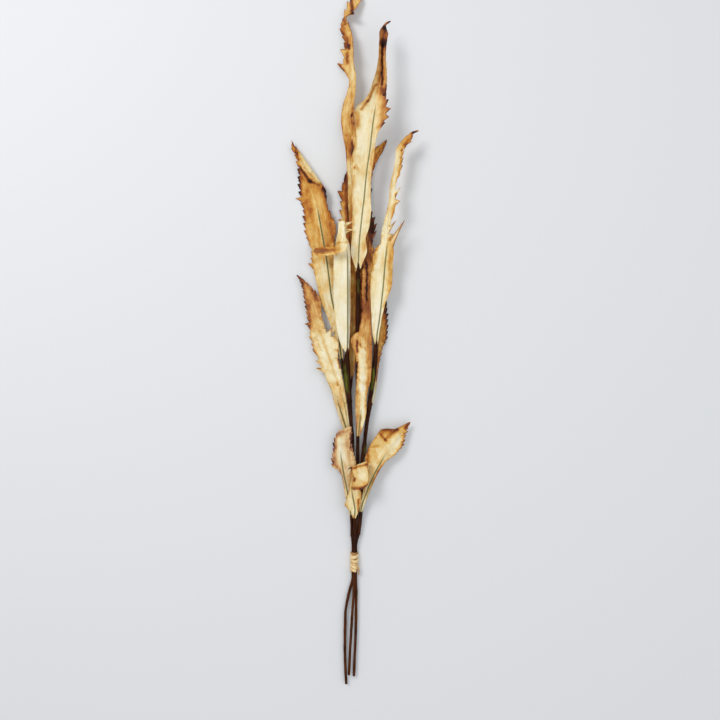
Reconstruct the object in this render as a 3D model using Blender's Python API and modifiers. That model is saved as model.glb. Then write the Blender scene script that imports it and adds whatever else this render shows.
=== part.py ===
"""A tied bunch of three dried leafy stems, lying on a flat surface.

The stems run along Y, with their cut ends at -Y and the leaf tips at +Y. Z is up, and Z = 0 is the surface.
Plan positions are read off a layout sketch, drawn in squares as seen from an eye above the bunch.
"""

import bisect
import math
import random

import bmesh
import bpy
from mathutils import Vector

MM = 0.001

# Layout sketch
SQUARE = 1.3 * MM
SKETCH_CENTRE = 360
EYE_HEIGHT = 936 * MM
EYE_LEVEL = 15 * MM
MIDDLE = Vector((-7.43 * MM, 36.51 * MM, 0))

# Leaves
BLADE = 0.8 * MM
RIB_RAISE = 0.7 * MM
RIB_HALF_WIDTH = 1.2 * MM
RIB_MOST = 0.35
RIB_TAPER = 0.7
NARROWEST = 0.3
HALF_COLUMNS = 3
TOOTH_AT = 0.8
TOOTH_LEAN = 0.9
TEETH_GROW_OVER = 0.2
TEETH_END_OVER = 0.12
SMALLEST_TOOTH = 0.1
TOOTH_FROM = 0.6
RUFFLE_LENGTHS = (62 * MM, 34 * MM)
RUFFLED_WIDTH = 6 * MM
GAP = 0.3 * MM

# Stems and tie
STALK_EVEN = 0.55
STALK_TIP = 1.35
STEM_POINTS = 26
TIED_RADIUS = 1.8 * MM
TIE_WALL = 1.2 * MM
TIE_BULGE = 0.45 * MM
TIE_TURNS = 5
TIE_X = 354.3
TIE_ENDS = (571.2, 551.3)
TIE_TAIL = ((357.5, 568, 0.5), (358.2, 571.5, 0.7), (359, 574, 0.4))
TIE_TAIL_HEIGHT = 4.2
TIED_LOW = 3.3
TIED_SIDE = 1.5
TIED_HIGH = TIED_LOW + (2 * TIED_RADIUS + GAP) / MM * math.sin(math.radians(60))

# Each stem point: sketch x, sketch y, height in mm, radius in mm
# Each stalk: the sketch y it leaves the stem at, its leaf, its radius in mm
STEMS = {
    "stem_left": {
        "route": [
            (346.3, 684, 3.8, 1.9), (344.8, 649, 3.8, 1.9), (345.4, 614, 3.7, 1.9), (348.5, 595, 3.5, 1.9),
            (TIE_X - TIED_SIDE, 576, TIED_LOW, 1.8), (TIE_X - TIED_SIDE, 547, TIED_LOW, 1.8),
            (351.9, 530, 3.7, 2.3), (352.8, 500, 5.2, 2.3), (353, 465, 7.0, 2.3), (352.5, 440, 8.5, 2.4),
            (351.3, 425, 9.4, 2.6), (349.5, 399, 11.0, 3.2), (347, 375, 12.6, 4.4), (346.6, 362, 13.6, 4.2),
            (347.2, 352.6, 14.3, 2.6),
        ],
        "stalks": [(402, "leaf_left_outer", 2.8), (398, "leaf_left_inner", 1.8), (450, "leaf_left_lower", 1.8),
                   (462, "leaf_left_short", 1.6), (536, "leaf_left_lowest", 1.8)],
    },
    "stem_middle": {
        "route": [
            (349, 675, 7.0, 1.9), (350.4, 645, 7.0, 1.9), (352.2, 614, 6.9, 1.9), (353.5, 595, 6.8, 1.8),
            (TIE_X, 575, TIED_HIGH, 1.8), (TIE_X, 547, TIED_HIGH, 1.8), (355.4, 530, 7.6, 2.4),
            (357.3, 500, 8.6, 2.4), (357.5, 463, 9.6, 2.5), (357.8, 437, 10.6, 2.3), (357.6, 400, 12.0, 2.5),
            (357.5, 335, 14.6, 2.9), (358, 300, 16.4, 3.0), (358.3, 268.7, 18.4, 2.4),
        ],
        "stalks": [(462, "leaf_middle_lower", 1.8), (376, "leaf_middle_rear", 1.6), (300, "leaf_middle_tall", 1.6),
                   (538, "leaf_middle_lowest", 2.2)],
    },
    "stem_right": {
        "route": [
            (354, 676, 3.8, 1.9), (355.7, 631, 3.8, 1.9), (356, 614, 3.7, 1.9), (356.2, 595, 3.5, 1.9),
            (TIE_X + TIED_SIDE, 575, TIED_LOW, 1.8), (TIE_X + TIED_SIDE, 547, TIED_LOW, 1.8),
            (358.9, 530, 4.2, 2.6), (361, 508, 5.2, 2.6), (361.8, 464, 7.4, 2.6), (363.8, 450, 8.0, 3.0),
            (365.4, 435, 8.7, 2.6), (369.1, 406, 10.4, 2.7), (372.3, 384, 12.0, 3.2), (375, 362, 13.6, 3.2),
            (376.2, 345.7, 14.4, 2.4),
        ],
        "stalks": [(426, "leaf_right_short", 1.6), (534, "leaf_right_lowest", 2.1)],
    },
}

# Each leaf station: sketch x, sketch y, height in mm, half widths to the left and right in squares,
# slopes of the left and right halves in degrees, upwards positive. The first is the base, the last the tip.
# Teeth: the share of the length they start at, then their size on the left and the right in squares.
# A lobe is a longer tooth: its side, the sketch y of the rib level with it, its length in squares and its lean.
# A fold turns all that lies past a line through a sketch point, heading so many degrees from +X, up and over.
LEAVES = {
    "leaf_middle_front": {
        "rows": 34, "seed": 2, "teeth": (0.55, 0, 0.6), "curl": 10, "ruffle": 1.0, "colour": (0.74, 0.60, 0.36),
        "stations": [
            (358.3, 268.4, 18.5, 2.4, 2.4, 0, 0), (358.4, 262, 19.4, 5.2, 4.6, 4, 5),
            (358.8, 251, 21.2, 8, 8.2, 6, 8),
            (359.6, 238, 23, 7.8, 6.3, 0, 12), (361, 225, 25, 9, 8.6, -2, 12),
            (362.6, 210, 27, 10, 8.8, 0, 12),
            (363.9, 200, 28, 12, 7, 2, 12), (366.4, 174, 31, 14, 5, 4, 12),
            (368.8, 157, 32, 16.4, 5.2, 4, 12),
            (370.4, 146, 33, 14.2, 4.6, 6, 10), (371.5, 135, 33.3, 15.6, 5.6, 6, 12),
            (372.8, 124, 33.5, 18, 9.8, 6, 14), (374, 116, 33.5, 19.6, 11.6, 8, 16),
            (374.8, 111, 33.4, 18.4, 12, 10, 18),
            (376, 104, 33, 12.8, 10.8, 20, 24), (377.4, 97, 32.6, 10, 9.6, 28, 28),
            (379.6, 86, 32, 9.6, 8.8, 42, 40),
            (381.6, 72, 31, 8.6, 7.4, 54, 52), (382.2, 58, 30, 7.4, 6.4, 60, 60),
            (382.8, 46, 29.5, 7.2, 6.6, 58, 58),
            (383.4, 37, 29.2, 6.8, 6.4, 50, 48), (383.8, 31.6, 28.9, 4.6, 4.2, 38, 35),
            (384.3, 27.6, 28.4, 2.3, 1.9, 25, 25),
            (385.3, 24.6, 28, 1.2, 1.1, 10, 10), (387.6, 22.7, 27.2, 1.1, 1, 0, 0),
            (390.4, 21.2, 26, 0.6, 0.6, 0, 0),
        ],
        "lobes": [
            ("right", 100, 3.4, 0.3), ("right", 108, 5.2, -0.1),
            ("right", 116, 4.4, -0.3), ("right", 126, 2.6, 0.3),
        ],
    },
    "leaf_middle_tall": {
        "rows": 38, "seed": 5, "teeth": (0.62, 1.6, 1.4), "curl": 14, "ruffle": 1.2, "colour": (0.62, 0.42, 0.16),
        "stations": [
            (356.6, 272, 12.6, 1.5, 1.5, 0, 0), (355.5, 255, 12.3, 3.6, 3.6, 0, 0),
            (354.5, 230, 12.5, 5, 5, 0, 0),
            (353, 200, 13, 5, 5, 0, 0), (351, 175, 13.5, 3.6, 4, -20, 15), (350, 163, 14, 4.2, 4, -35, 25),
            (350.5, 150, 14.5, 6, 7.4, -35, 30), (349.5, 135, 15, 7.2, 7.6, -25, 30),
            (348, 118, 15.5, 8, 7.6, -28, 35),
            (349, 105, 16, 8, 7, -36, 42), (351.5, 91, 16, 6.6, 6.2, -48, 48),
            (352.6, 80, 15.5, 5.6, 5.4, -55, 50),
            (350.5, 65, 15, 8.6, 5.2, -35, 48), (349, 50, 14, 6.8, 5.8, -45, 45),
            (348.5, 40, 13, 6.2, 6, -50, 42),
            (346, 30, 12, 5.6, 5.2, -40, 35), (344, 24, 11.2, 4.6, 4.6, -40, 42),
            (344.4, 18.6, 10.2, 2.2, 2.4, -50, 50),
            (349.5, 10, 9, 4.6, 5.4, -40, 30), (355, 2, 7, 6, 5, -25, 25), (359, -7, 4.5, 4.4, 4, -15, 15),
            (362, -18, 0.3, 0.6, 0.6, 0, 0),
        ],
        "lobes": [
            ("left", 66, 9, 1), ("left", 53, 6.5, 0.6), ("right", 14, 7.5, -0.3),
            ("left", 12, 4, 0.5), ("left", 5, 4, 0.5),
        ],
    },
    "leaf_middle_rear": {
        "rows": 24, "seed": 9, "teeth": (0.35, 0.8, 0.8), "curl": 8, "ruffle": 0.8, "colour": (0.55, 0.30, 0.10),
        "stations": [
            (361.2, 347, 10.2, 1.2, 1.2, 0, 0), (362.3, 335, 9.6, 3.8, 3.8, 0, 0),
            (363.5, 310, 8.6, 5.5, 5.5, 0, 0),
            (364, 280, 8, 6.5, 6.5, 0, -5), (364, 250, 7.4, 7, 6.5, 0, -10), (364.3, 220, 7, 7, 6, 0, -15),
            (365.6, 192, 6.5, 6, 5, 0, -20), (369, 174, 5.2, 5.5, 3.2, 0, -20),
            (373.6, 162, 4, 5.5, 2.8, 0, -20),
            (379.6, 151, 2.4, 5, 3, 0, -15), (384, 144.6, 1.2, 2.4, 1.6, 0, 0),
            (386.6, 140.2, 0.6, 0.6, 0.6, 0, 0),
        ],
        "lobes": [("right", 189, 3.6, 1.4)],
    },
    "leaf_middle_lower": {
        "rows": 32, "seed": 12, "teeth": (0.5, 0.8, 1.2), "curl": 10, "ruffle": 0.8, "colour": (0.45, 0.29, 0.12),
        "stations": [
            (358.3, 436.6, 14.8, 1.4, 1.4, 0, 0), (359.5, 425, 15.8, 3.2, 4, 10, 10),
            (361, 410, 17.2, 5.6, 5.6, 12, 10),
            (361.5, 398, 18, 6.2, 5.2, 8, 8), (362, 389, 18.5, 6, 6, 5, 5), (363, 378, 19, 6.4, 8, 5, 5),
            (363.5, 365, 19.5, 6.8, 8, 5, 0), (363, 352, 20.6, 8.4, 9, 0, 0),
            (362.2, 341, 20.9, 11.4, 10, 0, 0),
            (364, 330, 19.4, 5, 7.6, 0, -8), (365.5, 318, 17.2, 4.4, 6, 0, -15),
            (366.3, 300, 16.4, 4.8, 5.4, 0, -15),
            (366.5, 280, 16, 4.6, 6, 0, -15), (367.6, 262, 15.6, 4.6, 6.2, 0, -15),
            (369, 250, 15.2, 4.4, 4.6, 0, -10),
            (369.6, 243, 15, 3.8, 2.4, 0, 0), (370.2, 236, 15, 5, 4, 20, 15),
            (370.6, 228, 14.8, 4, 4, 20, 15),
            (370.6, 221.6, 14.5, 2.2, 2.4, 15, 10), (370.6, 216, 14.2, 1.2, 1.2, 5, 5),
            (372.2, 211.6, 14, 0.6, 0.6, 0, 0),
        ],
        "lobes": [("right", 237, 4.6, 1.2), ("right", 229, 4.2, 1), ("right", 222, 4, 0.8)],
    },
    "leaf_middle_lowest": {
        "rows": 20, "seed": 14, "teeth": (0.5, 0.6, 0.8), "curl": 10, "ruffle": 0.6, "colour": (0.74, 0.58, 0.32),
        "stations": [
            (354.2, 518.5, 12, 1.4, 1.4, 0, 0), (355, 510, 13.4, 5, 4, 5, 10),
            (354, 503, 14.6, 9.5, 7, 5, 10),
            (352.6, 496, 15.8, 5.5, 9, 5, 10), (351.6, 489, 16.8, 2.4, 10.4, 0, 10),
            (352.5, 480, 17.6, 2.4, 12, 0, 8),
            (355, 468, 18, 4, 13.6, 0, 5), (351.6, 462, 18, 1.4, 14.4, 0, 0),
            (347.6, 456.2, 18, 0.8, 14.4, 0, 0),
            (343.6, 451.4, 18, 0.8, 14.6, 0, 0), (340.8, 448, 18, 1, 14, 0, 0),
            (338.8, 445.6, 18, 1, 10, 0, 0),
            (337.6, 444.2, 18, 0.8, 0.8, 0, 0),
        ],
        "lobes": [("left", 465, 6, -0.2)],
        "folds": [(355, 468.5, 20, 172, 4.2)],
    },
    "leaf_left_front": {
        "rows": 32, "seed": 21, "teeth": (0.72, 1.0, 1.0), "curl": 8, "ruffle": 0.8, "colour": (0.86, 0.76, 0.52),
        "stations": [
            (347.4, 352.3, 14.5, 1.8, 1.2, 0, 0), (347.5, 345, 15.6, 6.4, 1.6, 4, -20),
            (347.7, 328, 18, 11, 3.4, 6, -50),
            (347.7, 309, 20.5, 13.5, 5, 6, -58), (347.7, 286, 23, 14.2, 5.4, 6, -60),
            (347.7, 262, 25, 14, 4, 4, -50),
            (347, 251, 26, 13, 3.4, 2, -25), (346, 243, 26.4, 10.6, 3, 2, -10),
            (345.2, 236, 27, 8.4, 0.8, 0, 0),
            (344.6, 230, 27.4, 6.4, 0.8, 0, 0), (344.2, 223, 27.4, 5, 0.8, 0, 0),
            (343.8, 210, 27.2, 5.4, 0.8, 0, 0),
            (343.2, 199, 26.4, 5, 3, 0, 0), (341, 192.4, 25.2, 3, 6.4, 0, 0),
            (336, 188.8, 22.4, 3.6, 4.6, 0, 0),
            (330, 187.4, 19.4, 4, 4.6, 0, 0), (323, 186.8, 16.2, 4.2, 4.6, 0, 0),
            (317, 186.8, 13.6, 3.8, 4.2, 0, 0),
            (314, 186.8, 12.2, 0.9, 0.9, 0, 0),
        ],
        "lobes": [("right", 234, 8.4, -0.05), ("right", 227, 9, 0.3)],
        "folds": [(345, 224.6, 0, 168, 3.6)],
    },
    "leaf_left_outer": {
        "rows": 32, "seed": 23, "teeth": (0.34, 2.6, 1.2), "curl": 8, "ruffle": 1.3, "colour": (0.66, 0.44, 0.19),
        "stations": [
            (341.6, 359.6, 10.3, 1.4, 1.4, 0, 0), (339.8, 345, 9.4, 3, 3, 0, 0),
            (337.6, 325, 8.6, 7, 5, 0, 0),
            (334.6, 311, 8.2, 9.2, 7, -2, 0), (331.6, 298, 8, 11.4, 9, -6, 0), (329, 278, 8, 13.6, 9, -8, 2),
            (326.2, 257, 8, 15, 9, -12, 4), (324.4, 247, 8, 13.4, 10, -14, 5),
            (321, 228, 7.6, 16.6, 15, -18, 8),
            (317.5, 208, 7, 14.8, 10, -20, 10), (314.5, 195, 6.6, 15, 12.4, -20, 12),
            (309, 181, 6.4, 11, 15, -20, 10),
            (303, 167, 6.2, 5, 13, -15, 6), (297.5, 155, 6, 1.8, 8, -8, 4), (292.4, 146, 5, 1, 2, 0, 0),
            (293.8, 140, 4, 0.5, 0.5, 0, 0),
        ],
        "lobes": [("left", 194, 6.4, 0.4), ("left", 264, 5.6, 0.5)],
        "folds": [(309.5, 170, -55, 165, 2.6)],
    },
    "leaf_left_inner": {
        "rows": 24, "seed": 25, "teeth": (0.45, 1.6, 1.0), "curl": 8, "ruffle": 0.8, "colour": (0.42, 0.22, 0.07),
        "stations": [
            (352.1, 377.5, 8, 1.2, 1.2, 0, 0), (352.3, 365, 7.2, 2.8, 2.8, 0, 0),
            (352.5, 345, 6.6, 4, 3.6, 0, 0),
            (352.5, 320, 6, 5, 4.6, 0, 0), (352, 290, 5.4, 6.2, 5.4, 0, 0), (350.5, 255, 5, 6.6, 6, 0, 0),
            (348.5, 225, 4.8, 6.4, 6, -5, 0), (346.8, 205, 4.8, 5.2, 6, -10, 0),
            (345.6, 193, 4.8, 4.6, 5.6, -10, 0),
            (347, 182, 4.8, 3.6, 4.2, 0, 0), (349, 172, 4.8, 2.4, 2.4, 0, 0),
            (350.6, 165, 4.8, 0.8, 0.8, 0, 0),
        ],
        "lobes": [("left", 194, 4.4, 0.6), ("left", 212, 3.4, 0.6), ("left", 226, 4, 0.4)],
    },
    "leaf_left_lower": {
        "rows": 30, "seed": 27, "teeth": (0.28, 1.6, 1.2), "curl": 10, "ruffle": 1.3, "colour": (0.74, 0.54, 0.26),
        "stations": [
            (348.4, 427.4, 11, 1.2, 1.2, 0, 0), (346.8, 418, 12.2, 2.2, 1.6, 0, 10),
            (344, 402, 12.8, 4.6, 2.4, -5, 15),
            (340.4, 388, 12.8, 8.6, 4, -8, 18), (336, 376, 12.6, 10.4, 6.5, -10, 18),
            (330, 360, 12, 10, 9, -12, 18),
            (325.5, 345, 11.4, 13, 13.4, -12, 14), (323.4, 338.8, 11.2, 12, 9, -13, 13),
            (321.2, 332.4, 11, 11, 5, -14, 12), (318.6, 324, 10.6, 10, 4.8, -15, 12),
            (316, 316, 10, 9, 6, -16, 10), (311.5, 302, 9, 6.6, 9, -16, 8), (306, 289, 8, 3.2, 5, -10, 5),
            (301, 280, 7, 1.4, 2, 0, 0), (296.8, 275, 6, 0.5, 0.5, 0, 0),
        ],
        "lobes": [
            ("left", 320, 4.8, 0.1), ("left", 326, 3.6, 2), ("left", 337, 4.6, 1.6), ("left", 353, 5.7, 1.8),
            ("left", 360, 6.8, 1.3), ("left", 368, 8.4, 0.6), ("right", 336, 8.4, 0.5),
        ],
    },
    "leaf_left_short": {
        "rows": 14, "seed": 29, "teeth": (0.35, 1.0, 1.0), "curl": 8, "ruffle": 0.5, "colour": (0.80, 0.66, 0.40),
        "stations": [
            (348, 436, 7, 1.2, 1.2, 0, 0), (343.8, 421, 5.6, 3, 3, -5, 0),
            (338.5, 404.5, 4.6, 3.4, 3.6, -10, 0),
            (334, 388, 4, 3.4, 4, -10, 0), (330, 372, 3.6, 3, 4, -10, 0), (326, 357, 3.2, 2.2, 2.6, -5, 0),
            (323, 345, 2.8, 0.7, 0.7, 0, 0),
        ],
    },
    "leaf_left_lowest": {
        "rows": 20, "seed": 31, "teeth": (0.36, 1.6, 1.6), "curl": 10, "ruffle": 0.6, "colour": (0.72, 0.56, 0.32),
        "stations": [
            (350.8, 515.6, 9.4, 1.2, 1.2, 0, 0), (350, 507, 10.8, 2.4, 2.4, -5, 0),
            (347.8, 494, 12.6, 3, 4, -10, 0),
            (344.6, 478, 14.4, 2.4, 6, -15, 0), (343.4, 471.6, 15.2, 3.8, 10, -18, -2),
            (342.4, 465.6, 15.8, 10.8, 13.6, -20, -2),
            (340.8, 454, 17.2, 8.8, 12, -24, -4), (340.6, 441, 18, 7, 10.4, -26, -4),
            (342, 431.6, 18, 3.8, 9.6, -20, -2),
            (344, 425, 18, 3.4, 7, -10, 0), (346, 420, 18, 0.8, 0.8, 0, 0),
        ],
        "folds": [(343.5, 431, 24, -170, 2.2)],
    },
    "leaf_right_front": {
        "rows": 32, "seed": 41, "teeth": (0.66, 0, 2.4), "curl": 10, "ruffle": 1.0, "colour": (0.84, 0.70, 0.42),
        "stations": [
            (376.4, 345.4, 14.5, 1.3, 1.3, 0, 0), (377, 335, 17, 4.4, 2, 5, 5),
            (378.7, 324, 19.2, 7, 2, 6, 8),
            (381.2, 305, 21.4, 10.4, 3.6, 6, 10), (383.5, 283, 22.5, 12.9, 8.6, 6, 10),
            (385.2, 262, 24.5, 12.6, 7.8, 4, 8),
            (386.5, 250, 26, 11.4, 7.4, 0, 8), (386.9, 243, 26.4, 6.2, 3.4, -10, 5),
            (387, 236, 26.6, 6, 1.8, -20, 5),
            (387.2, 229, 26.8, 5.4, 2.2, -25, 10), (387.8, 221, 27, 4, 3.2, -30, 15),
            (389.8, 210, 27, 3.2, 5.2, -35, 20),
            (391, 203, 27, 3, 4.8, -40, 25), (392, 196, 27, 3.6, 3.4, -45, 30),
            (393.2, 187, 27, 4.4, 2.4, -45, 30),
            (394.4, 180, 26.8, 4.6, 2.4, -45, 30), (396.4, 174, 26.6, 5, 3.8, -45, 30),
            (398, 166, 26.2, 5, 3.8, -45, 30),
            (399.2, 157, 26, 5, 3, -45, 28), (400.6, 150, 25.5, 5.8, 2.6, -40, 25),
            (403.4, 145, 25, 5.4, 3, -35, 25),
            (407, 139.6, 24.4, 4, 4.4, -25, 20), (410.4, 135, 23.6, 2, 2.6, -10, 10),
            (412.8, 132.6, 23, 1.2, 1.2, 0, 0),
            (418.4, 130.6, 22, 0.6, 0.6, 0, 0),
        ],
        "lobes": [
            ("right", 247, 26, 1.5), ("right", 239, 5, 0.1),
            ("right", 231, 10, 1.15), ("right", 201, 6, -0.1),
            ("right", 193, 8.6, 1.1),
        ],
    },
    "leaf_right_short": {
        "rows": 18, "seed": 43, "teeth": (0.3, 0, 2.0), "curl": 8, "ruffle": 0.8, "colour": (0.42, 0.17, 0.04),
        "stations": [
            (371.7, 403.8, 6.8, 1.2, 1.4, 0, 0), (373.2, 392, 6, 2, 2.6, 0, -5),
            (375, 378, 5.4, 3, 2.2, 0, -10),
            (376.8, 365, 5, 4, 2, 0, -15), (378.6, 350, 4.8, 5, 3, 0, -20),
            (380.6, 336, 4.4, 5.6, 6.6, 0, -22),
            (383, 318, 4, 4.4, 4.2, 0, -20), (385.4, 307, 3.4, 1.8, 1.2, 0, -10),
            (386.3, 301.4, 3, 0.6, 0.6, 0, 0),
        ],
    },
    "leaf_right_lowest": {
        "rows": 24, "seed": 45, "teeth": (0.5, 0, 2.2), "curl": 8, "ruffle": 0.8, "colour": (0.80, 0.58, 0.28),
        "stations": [
            (360.8, 512, 9.4, 1.3, 1.3, 0, 0), (362.4, 504, 11, 1.8, 2.2, 0, 5),
            (367, 491.6, 12.6, 4, 2.6, -4, 8),
            (374, 475, 13.6, 10, 2.6, -6, 5), (381, 462, 13.8, 17, 3.4, -6, -5),
            (388, 450.5, 13.4, 18, 8, -4, -10),
            (394.5, 441, 12.6, 18, 9.2, 0, -12), (397.5, 437, 12, 14, 8, 2, -11),
            (400.5, 433, 11.4, 7, 5, 4, -10),
            (404.6, 428, 10, 3.4, 3.2, 0, -5), (407.4, 425, 9, 2, 1.8, 0, 0), (410, 421.8, 8, 0.7, 0.7, 0, 0),
        ],
        "folds": [(388, 427, 8, 160, 2.6)],
    },
}


def at(x, y, z):
    """The place in metres of sketch point (x, y), for something z millimetres above the surface.

    The eye is above the sketch's centre, and MIDDLE is where the middle of the bunch is from there.
    """
    size = SQUARE * (1 - (z * MM - EYE_LEVEL) / EYE_HEIGHT)
    return Vector(((x - SKETCH_CENTRE) * size, (SKETCH_CENTRE - y) * size, z * MM)) - MIDDLE


def smooth_through(rows):
    """A function of 0 to 1 that runs smoothly through the rows, spaced by their distance in plan.

    Between two rows no value goes past either row's own.
    """
    reach = [0.0]
    for a, b in zip(rows, rows[1:]):
        reach.append(reach[-1] + math.dist(a[:2], b[:2]))
    knots = [r / reach[-1] for r in reach]

    def rate(i, k):
        slopes = [
            (rows[j + 1][k] - rows[j][k]) / (knots[j + 1] - knots[j])
            for j in (i - 1, i)
            if 0 <= j < len(rows) - 1
        ]
        if len(slopes) == 1:
            return slopes[0]
        before, after = slopes
        return 2 * before * after / (before + after) if before * after > 0 else 0

    def value(t):
        i = min(max(bisect.bisect_right(knots, t) - 1, 0), len(rows) - 2)
        span = knots[i + 1] - knots[i]
        f = (t - knots[i]) / span
        start, end = (1 + 2 * f) * (1 - f) ** 2, f * f * (3 - 2 * f)
        leave, arrive = f * (1 - f) ** 2 * span, f * f * (f - 1) * span
        return [
            start * rows[i][k] + end * rows[i + 1][k] + leave * rate(i, k) + arrive * rate(i + 1, k)
            for k in range(len(rows[0]))
        ]

    return value


def arc(width, slope, curl, u):
    """How far out and up a half blade gets at share u of its width, bending by curl either side of its slope."""
    first = math.radians(slope - curl)
    bend = math.radians(2 * curl)
    out = width * (math.sin(first + bend * u) - math.sin(first)) / bend
    up = width * (math.cos(first) - math.cos(first + bend * u)) / bend
    return out, up


class Leaf:
    """The surface of one leaf: t runs from base to tip, u from -1 at the left edge to 1 at the right."""

    def __init__(self, shape):
        self.shape = shape
        self.station = smooth_through(shape["stations"])
        draw = random.Random(shape["seed"])
        self.waves = [(draw.uniform(0, math.tau), draw.uniform(0, math.tau)) for _ in range(2)]
        first, last = shape["stations"][0], shape["stations"][-1]
        self.length = math.dist(first[:2], last[:2]) * SQUARE
        self.teeth = {side: [draw.uniform(0.55, 1.15) for _ in range(shape["rows"])] for side in (-1, 1)}

    def frame(self, t):
        """Rib point and the directions along the rib, to its right and up from the blade."""
        x, y, z = self.station(t)[:3]
        near, far = self.station(max(t - 0.004, 0)), self.station(min(t + 0.004, 1))
        along = (at(*far[:3]) - at(*near[:3])).normalized()
        right = along.cross(Vector((0, 0, 1))).normalized()
        return at(x, y, z), along, right, right.cross(along)

    def ruffle(self, t, side):
        """The wave of an edge, in metres."""
        phases = self.waves[0 if side < 0 else 1]
        grown = math.sin(math.pi * min(1, t * 1.4)) ** 0.5 if t < 0.7 else max(0, 1 - t) ** 0.5 * 1.6
        wave = sum(
            math.sin(math.tau * t * self.length / length + phase) / (k + 1)
            for k, (length, phase) in enumerate(zip(RUFFLE_LENGTHS, phases))
        )
        return self.shape["ruffle"] * MM * grown * wave

    def point(self, t, u):
        """The middle of the blade's thickness, before folds."""
        side = -1 if u < 0 else 1
        values = self.station(t)
        width = max(values[3 if side < 0 else 4], NARROWEST) * SQUARE
        slope = values[5 if side < 0 else 6]
        place, _, right, up = self.frame(t)
        out, rise = arc(width, slope, self.shape["curl"], abs(u))
        ruffle = self.ruffle(t, side) * min(width / RUFFLED_WIDTH, 1)
        return place + right * side * out + up * (rise + ruffle * u * u)

    def tooth(self, row, side, step):
        """The tip of the tooth that stands on this row's edge, or None where the edge is plain."""
        t = (row + TOOTH_AT) * step
        starts, *sizes = self.shape["teeth"]
        grown = min(max((t - starts) / TEETH_GROW_OVER, 0), 1) * min((1 - t) / TEETH_END_OVER, 1)
        grown *= sizes[side > 0]
        grown *= self.teeth[side][row]
        lean = TOOTH_LEAN
        for name, y, length, leaning in self.shape.get("lobes", []):
            here = self.station(row * step)[1] >= y > self.station((row + 1) * step)[1]
            if here and side == (-1 if name == "left" else 1):
                grown, lean = length, leaning
        if grown <= SMALLEST_TOOTH:
            return None
        edge, inner = self.point(t, side), self.point(t, side * TOOTH_FROM)
        outward = (edge - inner).normalized()
        _, along, _, _ = self.frame(t)
        return edge + (outward + along * lean).normalized() * grown * SQUARE

    def settle(self, place):
        """The point after the leaf's folds, and lifted to the surface where it would dip below it."""
        for x, y, heading, angle, radius in self.shape.get("folds", []):
            place = folded(place, at(x, y, place.z / MM), heading, angle, radius * MM)
        return Vector((place.x, place.y, max(place.z, BLADE / 2)))


def folded(place, line, heading, angle, radius):
    """What lies past the line bent up and over it, round a radius, or down and under for an angle below 0."""
    turn = math.radians(heading)
    over = Vector((-math.sin(turn), math.cos(turn), 0))
    past = (place - line).dot(over)
    if past <= 0:
        return place
    sign = 1 if angle > 0 else -1
    full = math.radians(abs(angle))
    bent = min(past / radius, full)
    straight = max(past - radius * full, 0)
    out = radius * math.sin(bent) + straight * math.cos(full)
    up = radius * (1 - math.cos(bent)) + straight * math.sin(full)
    return place + over * (out - past) + Vector((0, 0, sign * up))


def new_collection(name, parent):
    made = bpy.data.collections.new(name)
    parent.children.link(made)
    return made


def material(name, colour, roughness=0.75):
    made = bpy.data.materials.new(name)
    made.use_nodes = True
    shader = made.node_tree.nodes["Principled BSDF"]
    shader.inputs["Base Color"].default_value = (*colour, 1)
    shader.inputs["Roughness"].default_value = roughness
    shader.inputs["Metallic"].default_value = 0
    return made


def finish_object(name, bm, collection, finish):
    mesh = bpy.data.meshes.new(name)
    bm.to_mesh(mesh)
    bm.free()
    made = bpy.data.objects.new(name, mesh)
    made.data.materials.append(finish)
    collection.objects.link(made)
    return made


def build_leaf(name, shape, collection):
    """A thin blade, waved and toothed, with a raised midrib."""
    leaf = Leaf(shape)
    rows, columns = shape["rows"], 2 * HALF_COLUMNS
    bm = bmesh.new()
    bmesh.ops.create_grid(bm, x_segments=columns, y_segments=rows, size=1)
    edges = {}
    for vert in bm.verts:
        column = round((vert.co.x + 1) / 2 * columns) - HALF_COLUMNS
        row = round((vert.co.y + 1) / 2 * rows)
        t = row / rows
        side = -1 if column < 0 else 1
        width = max(leaf.station(t)[3 if side < 0 else 4], NARROWEST) * SQUARE
        near = min(RIB_HALF_WIDTH / width, RIB_MOST)
        share = (0, near, (1 + near) / 2, 1)[abs(column)]
        if abs(column) == HALF_COLUMNS:
            edges[side, row] = vert
        place = leaf.point(t, side * share)
        if column == 0:
            place += leaf.frame(t)[3] * RIB_RAISE * (1 - RIB_TAPER * t)
        vert.co = leaf.settle(place)
    for side in (-1, 1):
        for row in range(rows):
            tip = leaf.tooth(row, side, 1 / rows)
            if tip is not None:
                corners = [edges[side, row], edges[side, row + 1], bm.verts.new(leaf.settle(tip))]
                bm.faces.new(corners if side < 0 else corners[::-1])
    bmesh.ops.recalc_face_normals(bm, faces=bm.faces)
    bmesh.ops.triangulate(bm, faces=bm.faces, quad_method="SHORT_EDGE")
    made = finish_object(name, bm, collection, material(name, shape["colour"]))
    solid = made.modifiers.new("thickness", "SOLIDIFY")
    solid.thickness = BLADE
    solid.offset = 0
    return made


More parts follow.
